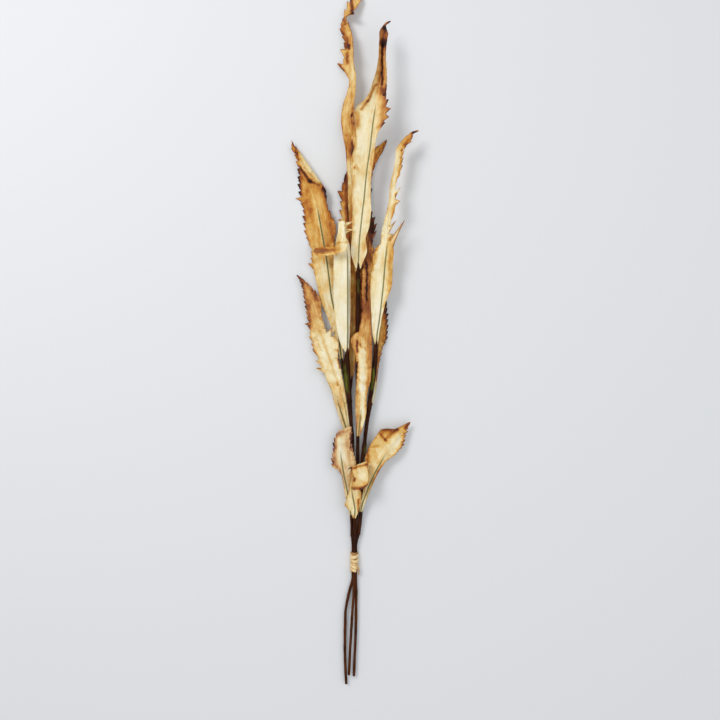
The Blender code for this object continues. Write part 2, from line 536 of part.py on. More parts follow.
def tube(name, points, collection, finish):
    """A closed mesh tube through points that each hold a place and a radius."""
    curve = bpy.data.curves.new(name, "CURVE")
    curve.dimensions = "3D"
    curve.bevel_depth = 1
    curve.bevel_resolution = 2
    curve.use_fill_caps = True
    spline = curve.splines.new("POLY")
    spline.points.add(len(points) - 1)
    for target, (place, radius) in zip(spline.points, points):
        target.co = (*place, 1)
        target.radius = radius
    guide = bpy.data.objects.new(name + "_guide", curve)
    collection.objects.link(guide)
    bpy.context.view_layer.update()
    graph = bpy.context.evaluated_depsgraph_get()
    bm = bmesh.new()
    drawn = bpy.data.meshes.new_from_object(guide.evaluated_get(graph))
    bm.from_mesh(drawn)
    bmesh.ops.remove_doubles(bm, verts=bm.verts, dist=1e-6)
    bmesh.ops.recalc_face_normals(bm, faces=bm.faces)
    bpy.data.objects.remove(guide)
    return finish_object(name, bm, collection, finish)


def join(target, extras, helpers):
    """One Boolean union of the target with the helper collection, applied, and the helpers removed."""
    union = target.modifiers.new("join", "BOOLEAN")
    union.operation = "UNION"
    union.operand_type = "COLLECTION"
    union.collection = helpers
    union.solver = "EXACT"
    bpy.context.view_layer.update()
    graph = bpy.context.evaluated_depsgraph_get()
    joined = bpy.data.meshes.new_from_object(target.evaluated_get(graph))
    target.modifiers.clear()
    target.data = joined
    for extra in extras:
        bpy.data.objects.remove(extra)


def stem_place(route, y):
    """The stem's axis and radius level with y in the sketch."""
    for low, high in zip(route, route[1:]):
        if low[1] >= y >= high[1]:
            share = (low[1] - y) / (low[1] - high[1])
            return [a + (b - a) * share for a, b in zip(low, high)]
    raise ValueError(y)


def build_stem(name, shape, collection, helpers):
    """The main stem with the stalks of its side leaves sunk into it."""
    finish = material(name, (0.075, 0.038, 0.016), 0.6)
    run = smooth_through(shape["route"])
    route = [run(k / (STEM_POINTS - 1)) for k in range(STEM_POINTS)]
    stem = tube(name, [(at(x, y, z), radius * MM) for x, y, z, radius in route], collection, finish)
    stalks = []
    for start, leaf, thickness in shape["stalks"]:
        root, base = at(*stem_place(route, start)[:3]), at(*LEAVES[leaf]["stations"][0][:3])
        end = base - (base - root).normalized() * GAP
        points = [(root, thickness * MM), (root.lerp(end, STALK_EVEN), thickness * MM), (end, STALK_TIP * MM)]
        stalks.append(tube(f"{name}_stalk_{leaf}", points, helpers, finish))
    join(stem, stalks, helpers)
    return stem


def tie_outline():
    """Round the three tied stems: for each point the stem it wraps, and the direction it faces."""
    low_left = at(TIE_X - TIED_SIDE, 561, TIED_LOW)
    low_right = at(TIE_X + TIED_SIDE, 561, TIED_LOW)
    high = at(TIE_X, 561, TIED_HIGH)
    steps = 8
    for centre, first in ((low_right, -90), (high, 30), (low_left, 150)):
        for k in range(steps + 1):
            yield centre, math.radians(first + 120 * k / steps)


def build_tie(collection, helpers):
    """Raffia wound round the stems, its turns bulging, flat underneath where it rests."""
    around = list(tie_outline())
    start, end = (at(TIE_X, y, TIED_LOW).y for y in TIE_ENDS)
    per_turn = 4
    rows = TIE_TURNS * per_turn
    bm = bmesh.new()
    bmesh.ops.create_grid(bm, x_segments=len(around), y_segments=rows + 2, size=1)
    clear = TIED_RADIUS + GAP
    for vert in bm.verts:
        centre, facing = around[round((vert.co.x + 1) / 2 * len(around)) % len(around)]
        row = round((vert.co.y + 1) / 2 * (rows + 2)) % (rows + 2)
        if row <= rows:
            share = row / rows
            turn = (share * TIE_TURNS + facing / math.tau) % 1
            radius = clear + TIE_WALL + TIE_BULGE * (1 - abs(2 * turn - 1) ** 3)
        else:
            share = 1 if row == rows + 1 else 0
            radius = clear
        place = centre + Vector((math.cos(facing), 0, math.sin(facing))) * radius
        vert.co = (place.x, start + (end - start) * share, max(place.z, 0))
    bmesh.ops.remove_doubles(bm, verts=bm.verts, dist=1e-6)
    bmesh.ops.recalc_face_normals(bm, faces=bm.faces)
    finish = material("tie", (0.78, 0.58, 0.33), 0.7)
    tie = finish_object("tie", bm, collection, finish)
    end_points = [(at(x, y, TIE_TAIL_HEIGHT), radius * MM) for x, y, radius in TIE_TAIL]
    join(tie, [tube("tie_tail", end_points, helpers, finish)], helpers)
    return tie


def main():
    for old in list(bpy.data.objects):
        bpy.data.objects.remove(old)
    root = bpy.context.scene.collection
    bunch = new_collection("dried_frond_bunch", root)
    helpers = new_collection("stalks_to_join", root)
    for name, shape in STEMS.items():
        build_stem(name, shape, bunch, helpers)
    for name, shape in LEAVES.items():
        build_leaf(name, shape, bunch)
    build_tie(bunch, helpers)


main()
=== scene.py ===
"""Looks of a tied bunch of three dried leafy stems, lying on a pale floor and seen from above."""

import bisect
import math
import random

import bpy
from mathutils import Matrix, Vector, noise


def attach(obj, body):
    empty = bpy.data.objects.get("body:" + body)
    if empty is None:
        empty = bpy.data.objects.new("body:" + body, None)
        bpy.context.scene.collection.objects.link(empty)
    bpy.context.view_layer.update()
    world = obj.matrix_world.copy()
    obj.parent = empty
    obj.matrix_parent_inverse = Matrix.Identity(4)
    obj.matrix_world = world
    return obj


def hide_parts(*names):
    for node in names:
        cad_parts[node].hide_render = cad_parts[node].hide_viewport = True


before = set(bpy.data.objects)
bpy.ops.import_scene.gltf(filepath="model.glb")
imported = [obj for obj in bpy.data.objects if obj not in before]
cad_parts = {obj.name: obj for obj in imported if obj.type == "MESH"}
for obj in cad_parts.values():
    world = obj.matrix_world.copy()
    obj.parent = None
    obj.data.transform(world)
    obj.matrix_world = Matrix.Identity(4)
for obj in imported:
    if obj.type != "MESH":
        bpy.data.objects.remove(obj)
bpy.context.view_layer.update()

MM = 0.001

# Layout sketch: plan positions in squares, as seen from an eye above the sketch's centre
SQUARE = 1.3 * MM
SKETCH_CENTRE = 360
EYE_HEIGHT = 936 * MM
EYE_LEVEL = 15 * MM
MIDDLE = Vector((-7.43 * MM, 36.51 * MM, 0))

# Leaf blades
COLUMNS = 26
ROWS_PER_TOOTH = 10
BLADE = 0.42 * MM
LOWEST = 0.25 * MM
TOOTH_AT = 0.8
TOOTH_LEAN = 0.9
TOOTH_GROWTH = 1.25
NOTCH = 0.5
LOBE = 4.5 * MM
SMALL_TOOTH_AT = 0.3
RUFFLE_LENGTHS = (62 * MM, 34 * MM)
RUFFLED_WIDTH = 6 * MM
NARROWEST = 0.3
TIP_WAVE = 1.6 * MM
ROLL_FROM = 0.8
# Each set of creases: how many a metre, and how far they slant across the blade
CREASES = ((75, 0.8), (150, -0.5))
VEIN_SPACING = 5.2 * MM
VEIN_SLANT = 0.85
VEIN_HEIGHT = 0.16 * MM
RIB_HALF_WIDTH = 0.9 * MM
RIB_HEIGHT = 0.55 * MM

# Stems and tie
TIED_RADIUS = 1.8 * MM
GAP = 0.3 * MM
TIE_X = 354.3
TIE_ENDS = (571.2, 551.3)
TIED_LOW = 3.3
TIED_SIDE = 1.5
TIED_HIGH = TIED_LOW + (2 * TIED_RADIUS + GAP) / MM * math.sin(math.radians(60))

STEM_POINTS = 220
STALK_STEPS = 16
BARK_GRAIN = 0.5 * MM
# Each set of bark ridges: how many a metre across and along, then their height in mm
BARK_RIDGES = ((620, 24, 0.16), (260, 110, 0.12))
RAFFIA = 0.3 * MM
SLEEVE_LIFT = 0.35 * MM
SLEEVE_INSET = 0.6 * MM
STRIP_START = 0.1
STRIP_SHIFT = 0.37
ROWS_PER_TURN = 44
# The share of each third of a turn in which the tie bends round a stem, before it runs straight to the next
BENDING = 0.62
# Each wound strip: sketch y it starts and ends at, turns, width in mm, lift from the stems in mm, tone
STRIPS = (
    (569.4, 553.4, 3.6, 5.2, 0.72, 0.22), (569.0, 563.4, 1.2, 4.6, 1.05, 0.16), (554.2, 560.4, 1.3, 4.8, 1.1, 0.12),
)
# Each loose end: its sketch x, y and height in mm, then its width in mm and tone
LOOSE_ENDS = (
    (((356.5, 566, 8.6), (358.2, 568.5, 7.4), (358.9, 571.5, 5.6), (358.4, 575, 3.2)), 2.2, 0.5),
    (((352.4, 569, 8.8), (351.2, 571.2, 7.6), (350.8, 573.0, 6.2)), 1.6, 0.35),
)

WARMTH = {"stem_left": 0.5, "stem_middle": 0.35, "stem_right": 0.45}
BUMP_DEPTH = 0.7 * MM
# Each light: place, size across, power, colour
LIGHTS = (
    ((-1.0, 0.9, 1.5), 0.8, 18.0, (1, 0.98, 0.95)),
    ((1.1, 0.2, 1.5), 1.5, 6.0, (0.96, 0.98, 1)),
    ((0.1, -1.2, 1.6), 1.4, 4.5, (1, 1, 1)),
)

# Each stem point: sketch x, sketch y, height in mm, radius in mm
# Each stalk: the sketch y it leaves the stem at, its leaf, its radius in mm
STEMS = {
    "stem_left": {
        "top": "leaf_left_front",
        "route": [
            (346.3, 684, 3.8, 1.9), (344.8, 649, 3.8, 1.9), (345.4, 614, 3.7, 1.9), (348.5, 595, 3.5, 1.9),
            (TIE_X - TIED_SIDE, 576, TIED_LOW, 1.8), (TIE_X - TIED_SIDE, 547, TIED_LOW, 1.8), (351.9, 530, 3.7, 2.3),
            (352.8, 500, 5.2, 2.3), (353, 465, 7.0, 2.3), (352.5, 440, 8.5, 2.4), (351.3, 425, 9.4, 2.6),
            (349.5, 399, 11.0, 3.2), (347, 375, 12.6, 4.4), (346.6, 362, 13.6, 4.2), (347.2, 352.6, 14.3, 2.6),
        ],
        "stalks": [
            (402, "leaf_left_outer", 2.8), (398, "leaf_left_inner", 1.8), (450, "leaf_left_lower", 1.8),
            (462, "leaf_left_short", 1.6), (536, "leaf_left_lowest", 1.8),
        ],
    },
    "stem_middle": {
        "top": "leaf_middle_front",
        "route": [
            (349, 675, 7.0, 1.9), (350.4, 645, 7.0, 1.9), (352.2, 614, 6.9, 1.9), (353.5, 595, 6.8, 1.8),
            (TIE_X, 575, TIED_HIGH, 1.8), (TIE_X, 547, TIED_HIGH, 1.8), (355.4, 530, 7.6, 2.4),
            (357.3, 500, 8.6, 2.4), (357.5, 463, 9.6, 2.5), (357.8, 437, 10.6, 2.3), (357.6, 400, 12.0, 2.5),
            (357.5, 335, 14.6, 2.9), (358, 300, 16.4, 3.0), (358.3, 268.7, 18.4, 2.4),
        ],
        "stalks": [
            (462, "leaf_middle_lower", 1.8), (376, "leaf_middle_rear", 1.6), (300, "leaf_middle_tall", 1.6),
            (538, "leaf_middle_lowest", 2.2),
        ],
    },
    "stem_right": {
        "top": "leaf_right_front",
        "route": [
            (354, 676, 3.8, 1.9), (355.7, 631, 3.8, 1.9), (356, 614, 3.7, 1.9), (356.2, 595, 3.5, 1.9),
            (TIE_X + TIED_SIDE, 575, TIED_LOW, 1.8), (TIE_X + TIED_SIDE, 547, TIED_LOW, 1.8), (358.9, 530, 4.2, 2.6),
            (361, 508, 5.2, 2.6), (361.8, 464, 7.4, 2.6), (363.8, 450, 8.0, 3.0), (365.4, 435, 8.7, 2.6),
            (369.1, 406, 10.4, 2.7), (372.3, 384, 12.0, 3.2), (375, 362, 13.6, 3.2), (376.2, 345.7, 14.4, 2.4),
        ],
        "stalks": [(426, "leaf_right_short", 1.6), (534, "leaf_right_lowest", 2.1)],
    },
}

# Each leaf station: sketch x, sketch y, height in mm, half widths to the left and right in squares,
# slopes of the left and right halves in degrees, upwards positive. The first is the base, the last the tip.
# Teeth: the share of the length they start at, then their size on the left and the right in squares.
# A lobe is a longer tooth: its side, the sketch y of the rib level with it, its length in squares and its lean.
# A fold turns all that lies past a line through a sketch point, heading so many degrees from +X, up and over.
LEAVES = {
    "leaf_middle_front": {
        "rows": 34, "seed": 2, "teeth": (0.55, 0, 0.6), "curl": 10, "ruffle": 1.0,
        "stations": [
            (358.3, 268.4, 18.5, 2.4, 2.4, 0, 0), (358.4, 262, 19.4, 5.2, 4.6, 4, 5),
            (358.8, 251, 21.2, 8, 8.2, 6, 8), (359.6, 238, 23, 7.8, 6.3, 0, 12), (361, 225, 25, 9, 8.6, -2, 12),
            (362.6, 210, 27, 10, 8.8, 0, 12), (363.9, 200, 28, 12, 7, 2, 12), (366.4, 174, 31, 14, 5, 4, 12),
            (368.8, 157, 32, 16.4, 5.2, 4, 12), (370.4, 146, 33, 14.2, 4.6, 6, 10),
            (371.5, 135, 33.3, 15.6, 5.6, 6, 12), (372.8, 124, 33.5, 18, 9.8, 6, 14),
            (374, 116, 33.5, 19.6, 11.6, 8, 16), (374.8, 111, 33.4, 18.4, 12, 10, 18),
            (376, 104, 33, 12.8, 10.8, 20, 24), (377.4, 97, 32.6, 10, 9.6, 28, 28), (379.6, 86, 32, 9.6, 8.8, 42, 40),
            (381.6, 72, 31, 8.6, 7.4, 54, 52), (382.2, 58, 30, 7.4, 6.4, 60, 60), (382.8, 46, 29.5, 7.2, 6.6, 58, 58),
            (383.4, 37, 29.2, 6.8, 6.4, 50, 48), (383.8, 31.6, 28.9, 4.6, 4.2, 38, 35),
            (384.3, 27.6, 28.4, 2.3, 1.9, 25, 25), (385.3, 24.6, 28, 1.2, 1.1, 10, 10),
            (387.6, 22.7, 27.2, 1.1, 1, 0, 0), (390.4, 21.2, 26, 0.6, 0.6, 0, 0),
        ],
        "lobes": [
            ("right", 100, 3.4, 0.3), ("right", 108, 5.2, -0.1),
            ("right", 116, 4.4, -0.3), ("right", 126, 2.6, 0.3),
        ],
    },
    "leaf_middle_tall": {
        "rows": 38, "seed": 5, "teeth": (0.62, 1.6, 1.4), "curl": 14, "ruffle": 1.2,
        "stations": [
            (356.6, 272, 12.6, 1.5, 1.5, 0, 0), (355.5, 255, 12.3, 3.6, 3.6, 0, 0), (354.5, 230, 12.5, 5, 5, 0, 0),
            (353, 200, 13, 5, 5, 0, 0), (351, 175, 13.5, 3.6, 4, -20, 15), (350, 163, 14, 4.2, 4, -35, 25),
            (350.5, 150, 14.5, 6, 7.4, -35, 30), (349.5, 135, 15, 7.2, 7.6, -25, 30),
            (348, 118, 15.5, 8, 7.6, -28, 35), (349, 105, 16, 8, 7, -36, 42), (351.5, 91, 16, 6.6, 6.2, -48, 48),
            (352.6, 80, 15.5, 5.6, 5.4, -55, 50), (350.5, 65, 15, 8.6, 5.2, -35, 48),
            (349, 50, 14, 6.8, 5.8, -45, 45), (348.5, 40, 13, 6.2, 6, -50, 42), (346, 30, 12, 5.6, 5.2, -40, 35),
            (344, 24, 11.2, 4.6, 4.6, -40, 42), (344.4, 18.6, 10.2, 2.2, 2.4, -50, 50),
            (349.5, 10, 9, 4.6, 5.4, -40, 30), (355, 2, 7, 6, 5, -25, 25), (359, -7, 4.5, 4.4, 4, -15, 15),
            (362, -18, 0.3, 0.6, 0.6, 0, 0),
        ],
        "lobes": [
            ("left", 66, 9, 1), ("left", 53, 6.5, 0.6), ("right", 14, 7.5, -0.3),
            ("left", 12, 4, 0.5), ("left", 5, 4, 0.5),
        ],
    },
    "leaf_middle_rear": {
        "rows": 24, "seed": 9, "teeth": (0.35, 0.8, 0.8), "curl": 8, "ruffle": 0.8,
        "stations": [
            (361.2, 347, 10.2, 1.2, 1.2, 0, 0), (362.3, 335, 9.6, 3.8, 3.8, 0, 0), (363.5, 310, 8.6, 5.5, 5.5, 0, 0),
            (364, 280, 8, 6.5, 6.5, 0, -5), (364, 250, 7.4, 7, 6.5, 0, -10), (364.3, 220, 7, 7, 6, 0, -15),
            (365.6, 192, 6.5, 6, 5, 0, -20), (369, 174, 5.2, 5.5, 3.2, 0, -20), (373.6, 162, 4, 5.5, 2.8, 0, -20),
            (379.6, 151, 2.4, 5, 3, 0, -15), (384, 144.6, 1.2, 2.4, 1.6, 0, 0), (386.6, 140.2, 0.6, 0.6, 0.6, 0, 0),
        ],
        "lobes": [("right", 189, 3.6, 1.4)],
    },
    "leaf_middle_lower": {
        "rows": 32, "seed": 12, "teeth": (0.5, 0.8, 1.2), "curl": 10, "ruffle": 0.8,
        "stations": [
            (358.3, 436.6, 14.8, 1.4, 1.4, 0, 0), (359.5, 425, 15.8, 3.2, 4, 10, 10),
            (361, 410, 17.2, 5.6, 5.6, 12, 10), (361.5, 398, 18, 6.2, 5.2, 8, 8), (362, 389, 18.5, 6, 6, 5, 5),
            (363, 378, 19, 6.4, 8, 5, 5), (363.5, 365, 19.5, 6.8, 8, 5, 0), (363, 352, 20.6, 8.4, 9, 0, 0),
            (362.2, 341, 20.9, 11.4, 10, 0, 0), (364, 330, 19.4, 5, 7.6, 0, -8), (365.5, 318, 17.2, 4.4, 6, 0, -15),
            (366.3, 300, 16.4, 4.8, 5.4, 0, -15), (366.5, 280, 16, 4.6, 6, 0, -15),
            (367.6, 262, 15.6, 4.6, 6.2, 0, -15), (369, 250, 15.2, 4.4, 4.6, 0, -10),
            (369.6, 243, 15, 3.8, 2.4, 0, 0), (370.2, 236, 15, 5, 4, 20, 15), (370.6, 228, 14.8, 4, 4, 20, 15),
            (370.6, 221.6, 14.5, 2.2, 2.4, 15, 10), (370.6, 216, 14.2, 1.2, 1.2, 5, 5),
            (372.2, 211.6, 14, 0.6, 0.6, 0, 0),
        ],
        "lobes": [("right", 237, 4.6, 1.2), ("right", 229, 4.2, 1), ("right", 222, 4, 0.8)],
    },
    "leaf_middle_lowest": {
        "rows": 20, "seed": 14, "teeth": (0.5, 0.6, 0.8), "curl": 10, "ruffle": 0.6,
        "stations": [
            (354.2, 518.5, 12, 1.4, 1.4, 0, 0), (355, 510, 13.4, 5, 4, 5, 10), (354, 503, 14.6, 9.5, 7, 5, 10),
            (352.6, 496, 15.8, 5.5, 9, 5, 10), (351.6, 489, 16.8, 2.4, 10.4, 0, 10),
            (352.5, 480, 17.6, 2.4, 12, 0, 8), (355, 468, 18, 4, 13.6, 0, 5), (351.6, 462, 18, 1.4, 14.4, 0, 0),
            (347.6, 456.2, 18, 0.8, 14.4, 0, 0), (343.6, 451.4, 18, 0.8, 14.6, 0, 0), (340.8, 448, 18, 1, 14, 0, 0),
            (338.8, 445.6, 18, 1, 10, 0, 0), (337.6, 444.2, 18, 0.8, 0.8, 0, 0),
        ],
        "lobes": [("left", 465, 6, -0.2)],
        "folds": [(355, 468.5, 20, 172, 4.2)],
    },
    "leaf_left_front": {
        "rows": 32, "seed": 21, "teeth": (0.72, 1.0, 1.0), "curl": 8, "ruffle": 0.8,
        "stations": [
            (347.4, 352.3, 14.5, 1.8, 1.2, 0, 0), (347.5, 345, 15.6, 6.4, 1.6, 4, -20),
            (347.7, 328, 18, 11, 3.4, 6, -50), (347.7, 309, 20.5, 13.5, 5, 6, -58),
            (347.7, 286, 23, 14.2, 5.4, 6, -60), (347.7, 262, 25, 14, 4, 4, -50), (347, 251, 26, 13, 3.4, 2, -25),
            (346, 243, 26.4, 10.6, 3, 2, -10), (345.2, 236, 27, 8.4, 0.8, 0, 0), (344.6, 230, 27.4, 6.4, 0.8, 0, 0),
            (344.2, 223, 27.4, 5, 0.8, 0, 0), (343.8, 210, 27.2, 5.4, 0.8, 0, 0), (343.2, 199, 26.4, 5, 3, 0, 0),
            (341, 192.4, 25.2, 3, 6.4, 0, 0), (336, 188.8, 22.4, 3.6, 4.6, 0, 0), (330, 187.4, 19.4, 4, 4.6, 0, 0),
            (323, 186.8, 16.2, 4.2, 4.6, 0, 0), (317, 186.8, 13.6, 3.8, 4.2, 0, 0),
            (314, 186.8, 12.2, 0.9, 0.9, 0, 0),
        ],
        "lobes": [("right", 234, 8.4, -0.05), ("right", 227, 9, 0.3)],
        "folds": [(345, 224.6, 0, 168, 3.6)],
    },
    "leaf_left_outer": {
        "rows": 32, "seed": 23, "teeth": (0.34, 2.6, 1.2), "curl": 8, "ruffle": 1.3,
        "stations": [
            (341.6, 359.6, 10.3, 1.4, 1.4, 0, 0), (339.8, 345, 9.4, 3, 3, 0, 0), (337.6, 325, 8.6, 7, 5, 0, 0),
            (334.6, 311, 8.2, 9.2, 7, -2, 0), (331.6, 298, 8, 11.4, 9, -6, 0), (329, 278, 8, 13.6, 9, -8, 2),
            (326.2, 257, 8, 15, 9, -12, 4), (324.4, 247, 8, 13.4, 10, -14, 5), (321, 228, 7.6, 16.6, 15, -18, 8),
            (317.5, 208, 7, 14.8, 10, -20, 10), (314.5, 195, 6.6, 15, 12.4, -20, 12),
            (309, 181, 6.4, 11, 15, -20, 10), (303, 167, 6.2, 5, 13, -15, 6), (297.5, 155, 6, 1.8, 8, -8, 4),
            (292.4, 146, 5, 1, 2, 0, 0), (293.8, 140, 4, 0.5, 0.5, 0, 0),
        ],
        "lobes": [("left", 194, 6.4, 0.4), ("left", 264, 5.6, 0.5)],
        "folds": [(309.5, 170, -55, 165, 2.6)],
    },
    "leaf_left_inner": {
        "rows": 24, "seed": 25, "teeth": (0.45, 1.6, 1.0), "curl": 8, "ruffle": 0.8,
        "stations": [
            (352.1, 377.5, 8, 1.2, 1.2, 0, 0), (352.3, 365, 7.2, 2.8, 2.8, 0, 0), (352.5, 345, 6.6, 4, 3.6, 0, 0),
            (352.5, 320, 6, 5, 4.6, 0, 0), (352, 290, 5.4, 6.2, 5.4, 0, 0), (350.5, 255, 5, 6.6, 6, 0, 0),
            (348.5, 225, 4.8, 6.4, 6, -5, 0), (346.8, 205, 4.8, 5.2, 6, -10, 0), (345.6, 193, 4.8, 4.6, 5.6, -10, 0),
            (347, 182, 4.8, 3.6, 4.2, 0, 0), (349, 172, 4.8, 2.4, 2.4, 0, 0), (350.6, 165, 4.8, 0.8, 0.8, 0, 0),
        ],
        "lobes": [("left", 194, 4.4, 0.6), ("left", 212, 3.4, 0.6), ("left", 226, 4, 0.4)],
    },
    "leaf_left_lower": {
        "rows": 30, "seed": 27, "teeth": (0.28, 1.6, 1.2), "curl": 10, "ruffle": 1.3,
        "stations": [
            (348.4, 427.4, 11, 1.2, 1.2, 0, 0), (346.8, 418, 12.2, 2.2, 1.6, 0, 10),
            (344, 402, 12.8, 4.6, 2.4, -5, 15), (340.4, 388, 12.8, 8.6, 4, -8, 18),
            (336, 376, 12.6, 10.4, 6.5, -10, 18), (330, 360, 12, 10, 9, -12, 18),
            (325.5, 345, 11.4, 13, 13.4, -12, 14), (323.4, 338.8, 11.2, 12, 9, -13, 13),
            (321.2, 332.4, 11, 11, 5, -14, 12), (318.6, 324, 10.6, 10, 4.8, -15, 12), (316, 316, 10, 9, 6, -16, 10),
            (311.5, 302, 9, 6.6, 9, -16, 8), (306, 289, 8, 3.2, 5, -10, 5), (301, 280, 7, 1.4, 2, 0, 0),
            (296.8, 275, 6, 0.5, 0.5, 0, 0),
        ],
        "lobes": [
            ("left", 320, 4.8, 0.1), ("left", 326, 3.6, 2), ("left", 337, 4.6, 1.6), ("left", 353, 5.7, 1.8),
            ("left", 360, 6.8, 1.3), ("left", 368, 8.4, 0.6), ("right", 336, 8.4, 0.5),
        ],
    },
    "leaf_left_short": {
        "rows": 14, "seed": 29, "teeth": (0.35, 1.0, 1.0), "curl": 8, "ruffle": 0.5,
        "stations": [
            (348, 436, 7, 1.2, 1.2, 0, 0), (343.8, 421, 5.6, 3, 3, -5, 0), (338.5, 404.5, 4.6, 3.4, 3.6, -10, 0),
            (334, 388, 4, 3.4, 4, -10, 0), (330, 372, 3.6, 3, 4, -10, 0), (326, 357, 3.2, 2.2, 2.6, -5, 0),
            (323, 345, 2.8, 0.7, 0.7, 0, 0),
        ],
    },
    "leaf_left_lowest": {
        "rows": 20, "seed": 31, "teeth": (0.36, 1.6, 1.6), "curl": 10, "ruffle": 0.6,
        "stations": [
            (350.8, 515.6, 9.4, 1.2, 1.2, 0, 0), (350, 507, 10.8, 2.4, 2.4, -5, 0), (347.8, 494, 12.6, 3, 4, -10, 0),
            (344.6, 478, 14.4, 2.4, 6, -15, 0), (343.4, 471.6, 15.2, 3.8, 10, -18, -2),
            (342.4, 465.6, 15.8, 10.8, 13.6, -20, -2), (340.8, 454, 17.2, 8.8, 12, -24, -4),
            (340.6, 441, 18, 7, 10.4, -26, -4), (342, 431.6, 18, 3.8, 9.6, -20, -2), (344, 425, 18, 3.4, 7, -10, 0),
            (346, 420, 18, 0.8, 0.8, 0, 0),
        ],
        "folds": [(343.5, 431, 24, -170, 2.2)],
    },
    "leaf_right_front": {
        "rows": 32, "seed": 41, "teeth": (0.66, 0, 2.4), "curl": 10, "ruffle": 1.0,
        "stations": [
            (376.4, 345.4, 14.5, 1.3, 1.3, 0, 0), (377, 335, 17, 4.4, 2, 5, 5), (378.7, 324, 19.2, 7, 2, 6, 8),
            (381.2, 305, 21.4, 10.4, 3.6, 6, 10), (383.5, 283, 22.5, 12.9, 8.6, 6, 10),
            (385.2, 262, 24.5, 12.6, 7.8, 4, 8), (386.5, 250, 26, 11.4, 7.4, 0, 8),
            (386.9, 243, 26.4, 6.2, 3.4, -10, 5), (387, 236, 26.6, 6, 1.8, -20, 5),
            (387.2, 229, 26.8, 5.4, 2.2, -25, 10), (387.8, 221, 27, 4, 3.2, -30, 15),
            (389.8, 210, 27, 3.2, 5.2, -35, 20), (391, 203, 27, 3, 4.8, -40, 25), (392, 196, 27, 3.6, 3.4, -45, 30),
            (393.2, 187, 27, 4.4, 2.4, -45, 30), (394.4, 180, 26.8, 4.6, 2.4, -45, 30),
            (396.4, 174, 26.6, 5, 3.8, -45, 30), (398, 166, 26.2, 5, 3.8, -45, 30), (399.2, 157, 26, 5, 3, -45, 28),
            (400.6, 150, 25.5, 5.8, 2.6, -40, 25), (403.4, 145, 25, 5.4, 3, -35, 25),
            (407, 139.6, 24.4, 4, 4.4, -25, 20), (410.4, 135, 23.6, 2, 2.6, -10, 10),
            (412.8, 132.6, 23, 1.2, 1.2, 0, 0), (418.4, 130.6, 22, 0.6, 0.6, 0, 0),
        ],
        "lobes": [
            ("right", 247, 26, 1.5), ("right", 239, 5, 0.1),
            ("right", 231, 10, 1.15), ("right", 201, 6, -0.1),
            ("right", 193, 8.6, 1.1),
        ],
    },
    "leaf_right_short": {
        "rows": 18, "seed": 43, "teeth": (0.3, 0, 2.0), "curl": 8, "ruffle": 0.8,
        "stations": [
            (371.7, 403.8, 6.8, 1.2, 1.4, 0, 0), (373.2, 392, 6, 2, 2.6, 0, -5), (375, 378, 5.4, 3, 2.2, 0, -10),
            (376.8, 365, 5, 4, 2, 0, -15), (378.6, 350, 4.8, 5, 3, 0, -20), (380.6, 336, 4.4, 5.6, 6.6, 0, -22),
            (383, 318, 4, 4.4, 4.2, 0, -20), (385.4, 307, 3.4, 1.8, 1.2, 0, -10), (386.3, 301.4, 3, 0.6, 0.6, 0, 0),
        ],
    },
    "leaf_right_lowest": {
        "rows": 24, "seed": 45, "teeth": (0.5, 0, 2.2), "curl": 8, "ruffle": 0.8,
        "stations": [
            (360.8, 512, 9.4, 1.3, 1.3, 0, 0), (362.4, 504, 11, 1.8, 2.2, 0, 5), (367, 491.6, 12.6, 4, 2.6, -4, 8),
            (374, 475, 13.6, 10, 2.6, -6, 5), (381, 462, 13.8, 17, 3.4, -6, -5), (388, 450.5, 13.4, 18, 8, -4, -10),
            (394.5, 441, 12.6, 18, 9.2, 0, -12), (397.5, 437, 12, 14, 8, 2, -11), (400.5, 433, 11.4, 7, 5, 4, -10),
            (404.6, 428, 10, 3.4, 3.2, 0, -5), (407.4, 425, 9, 2, 1.8, 0, 0), (410, 421.8, 8, 0.7, 0.7, 0, 0),
        ],
        "folds": [(388, 427, 8, 160, 2.6)],
    },
}

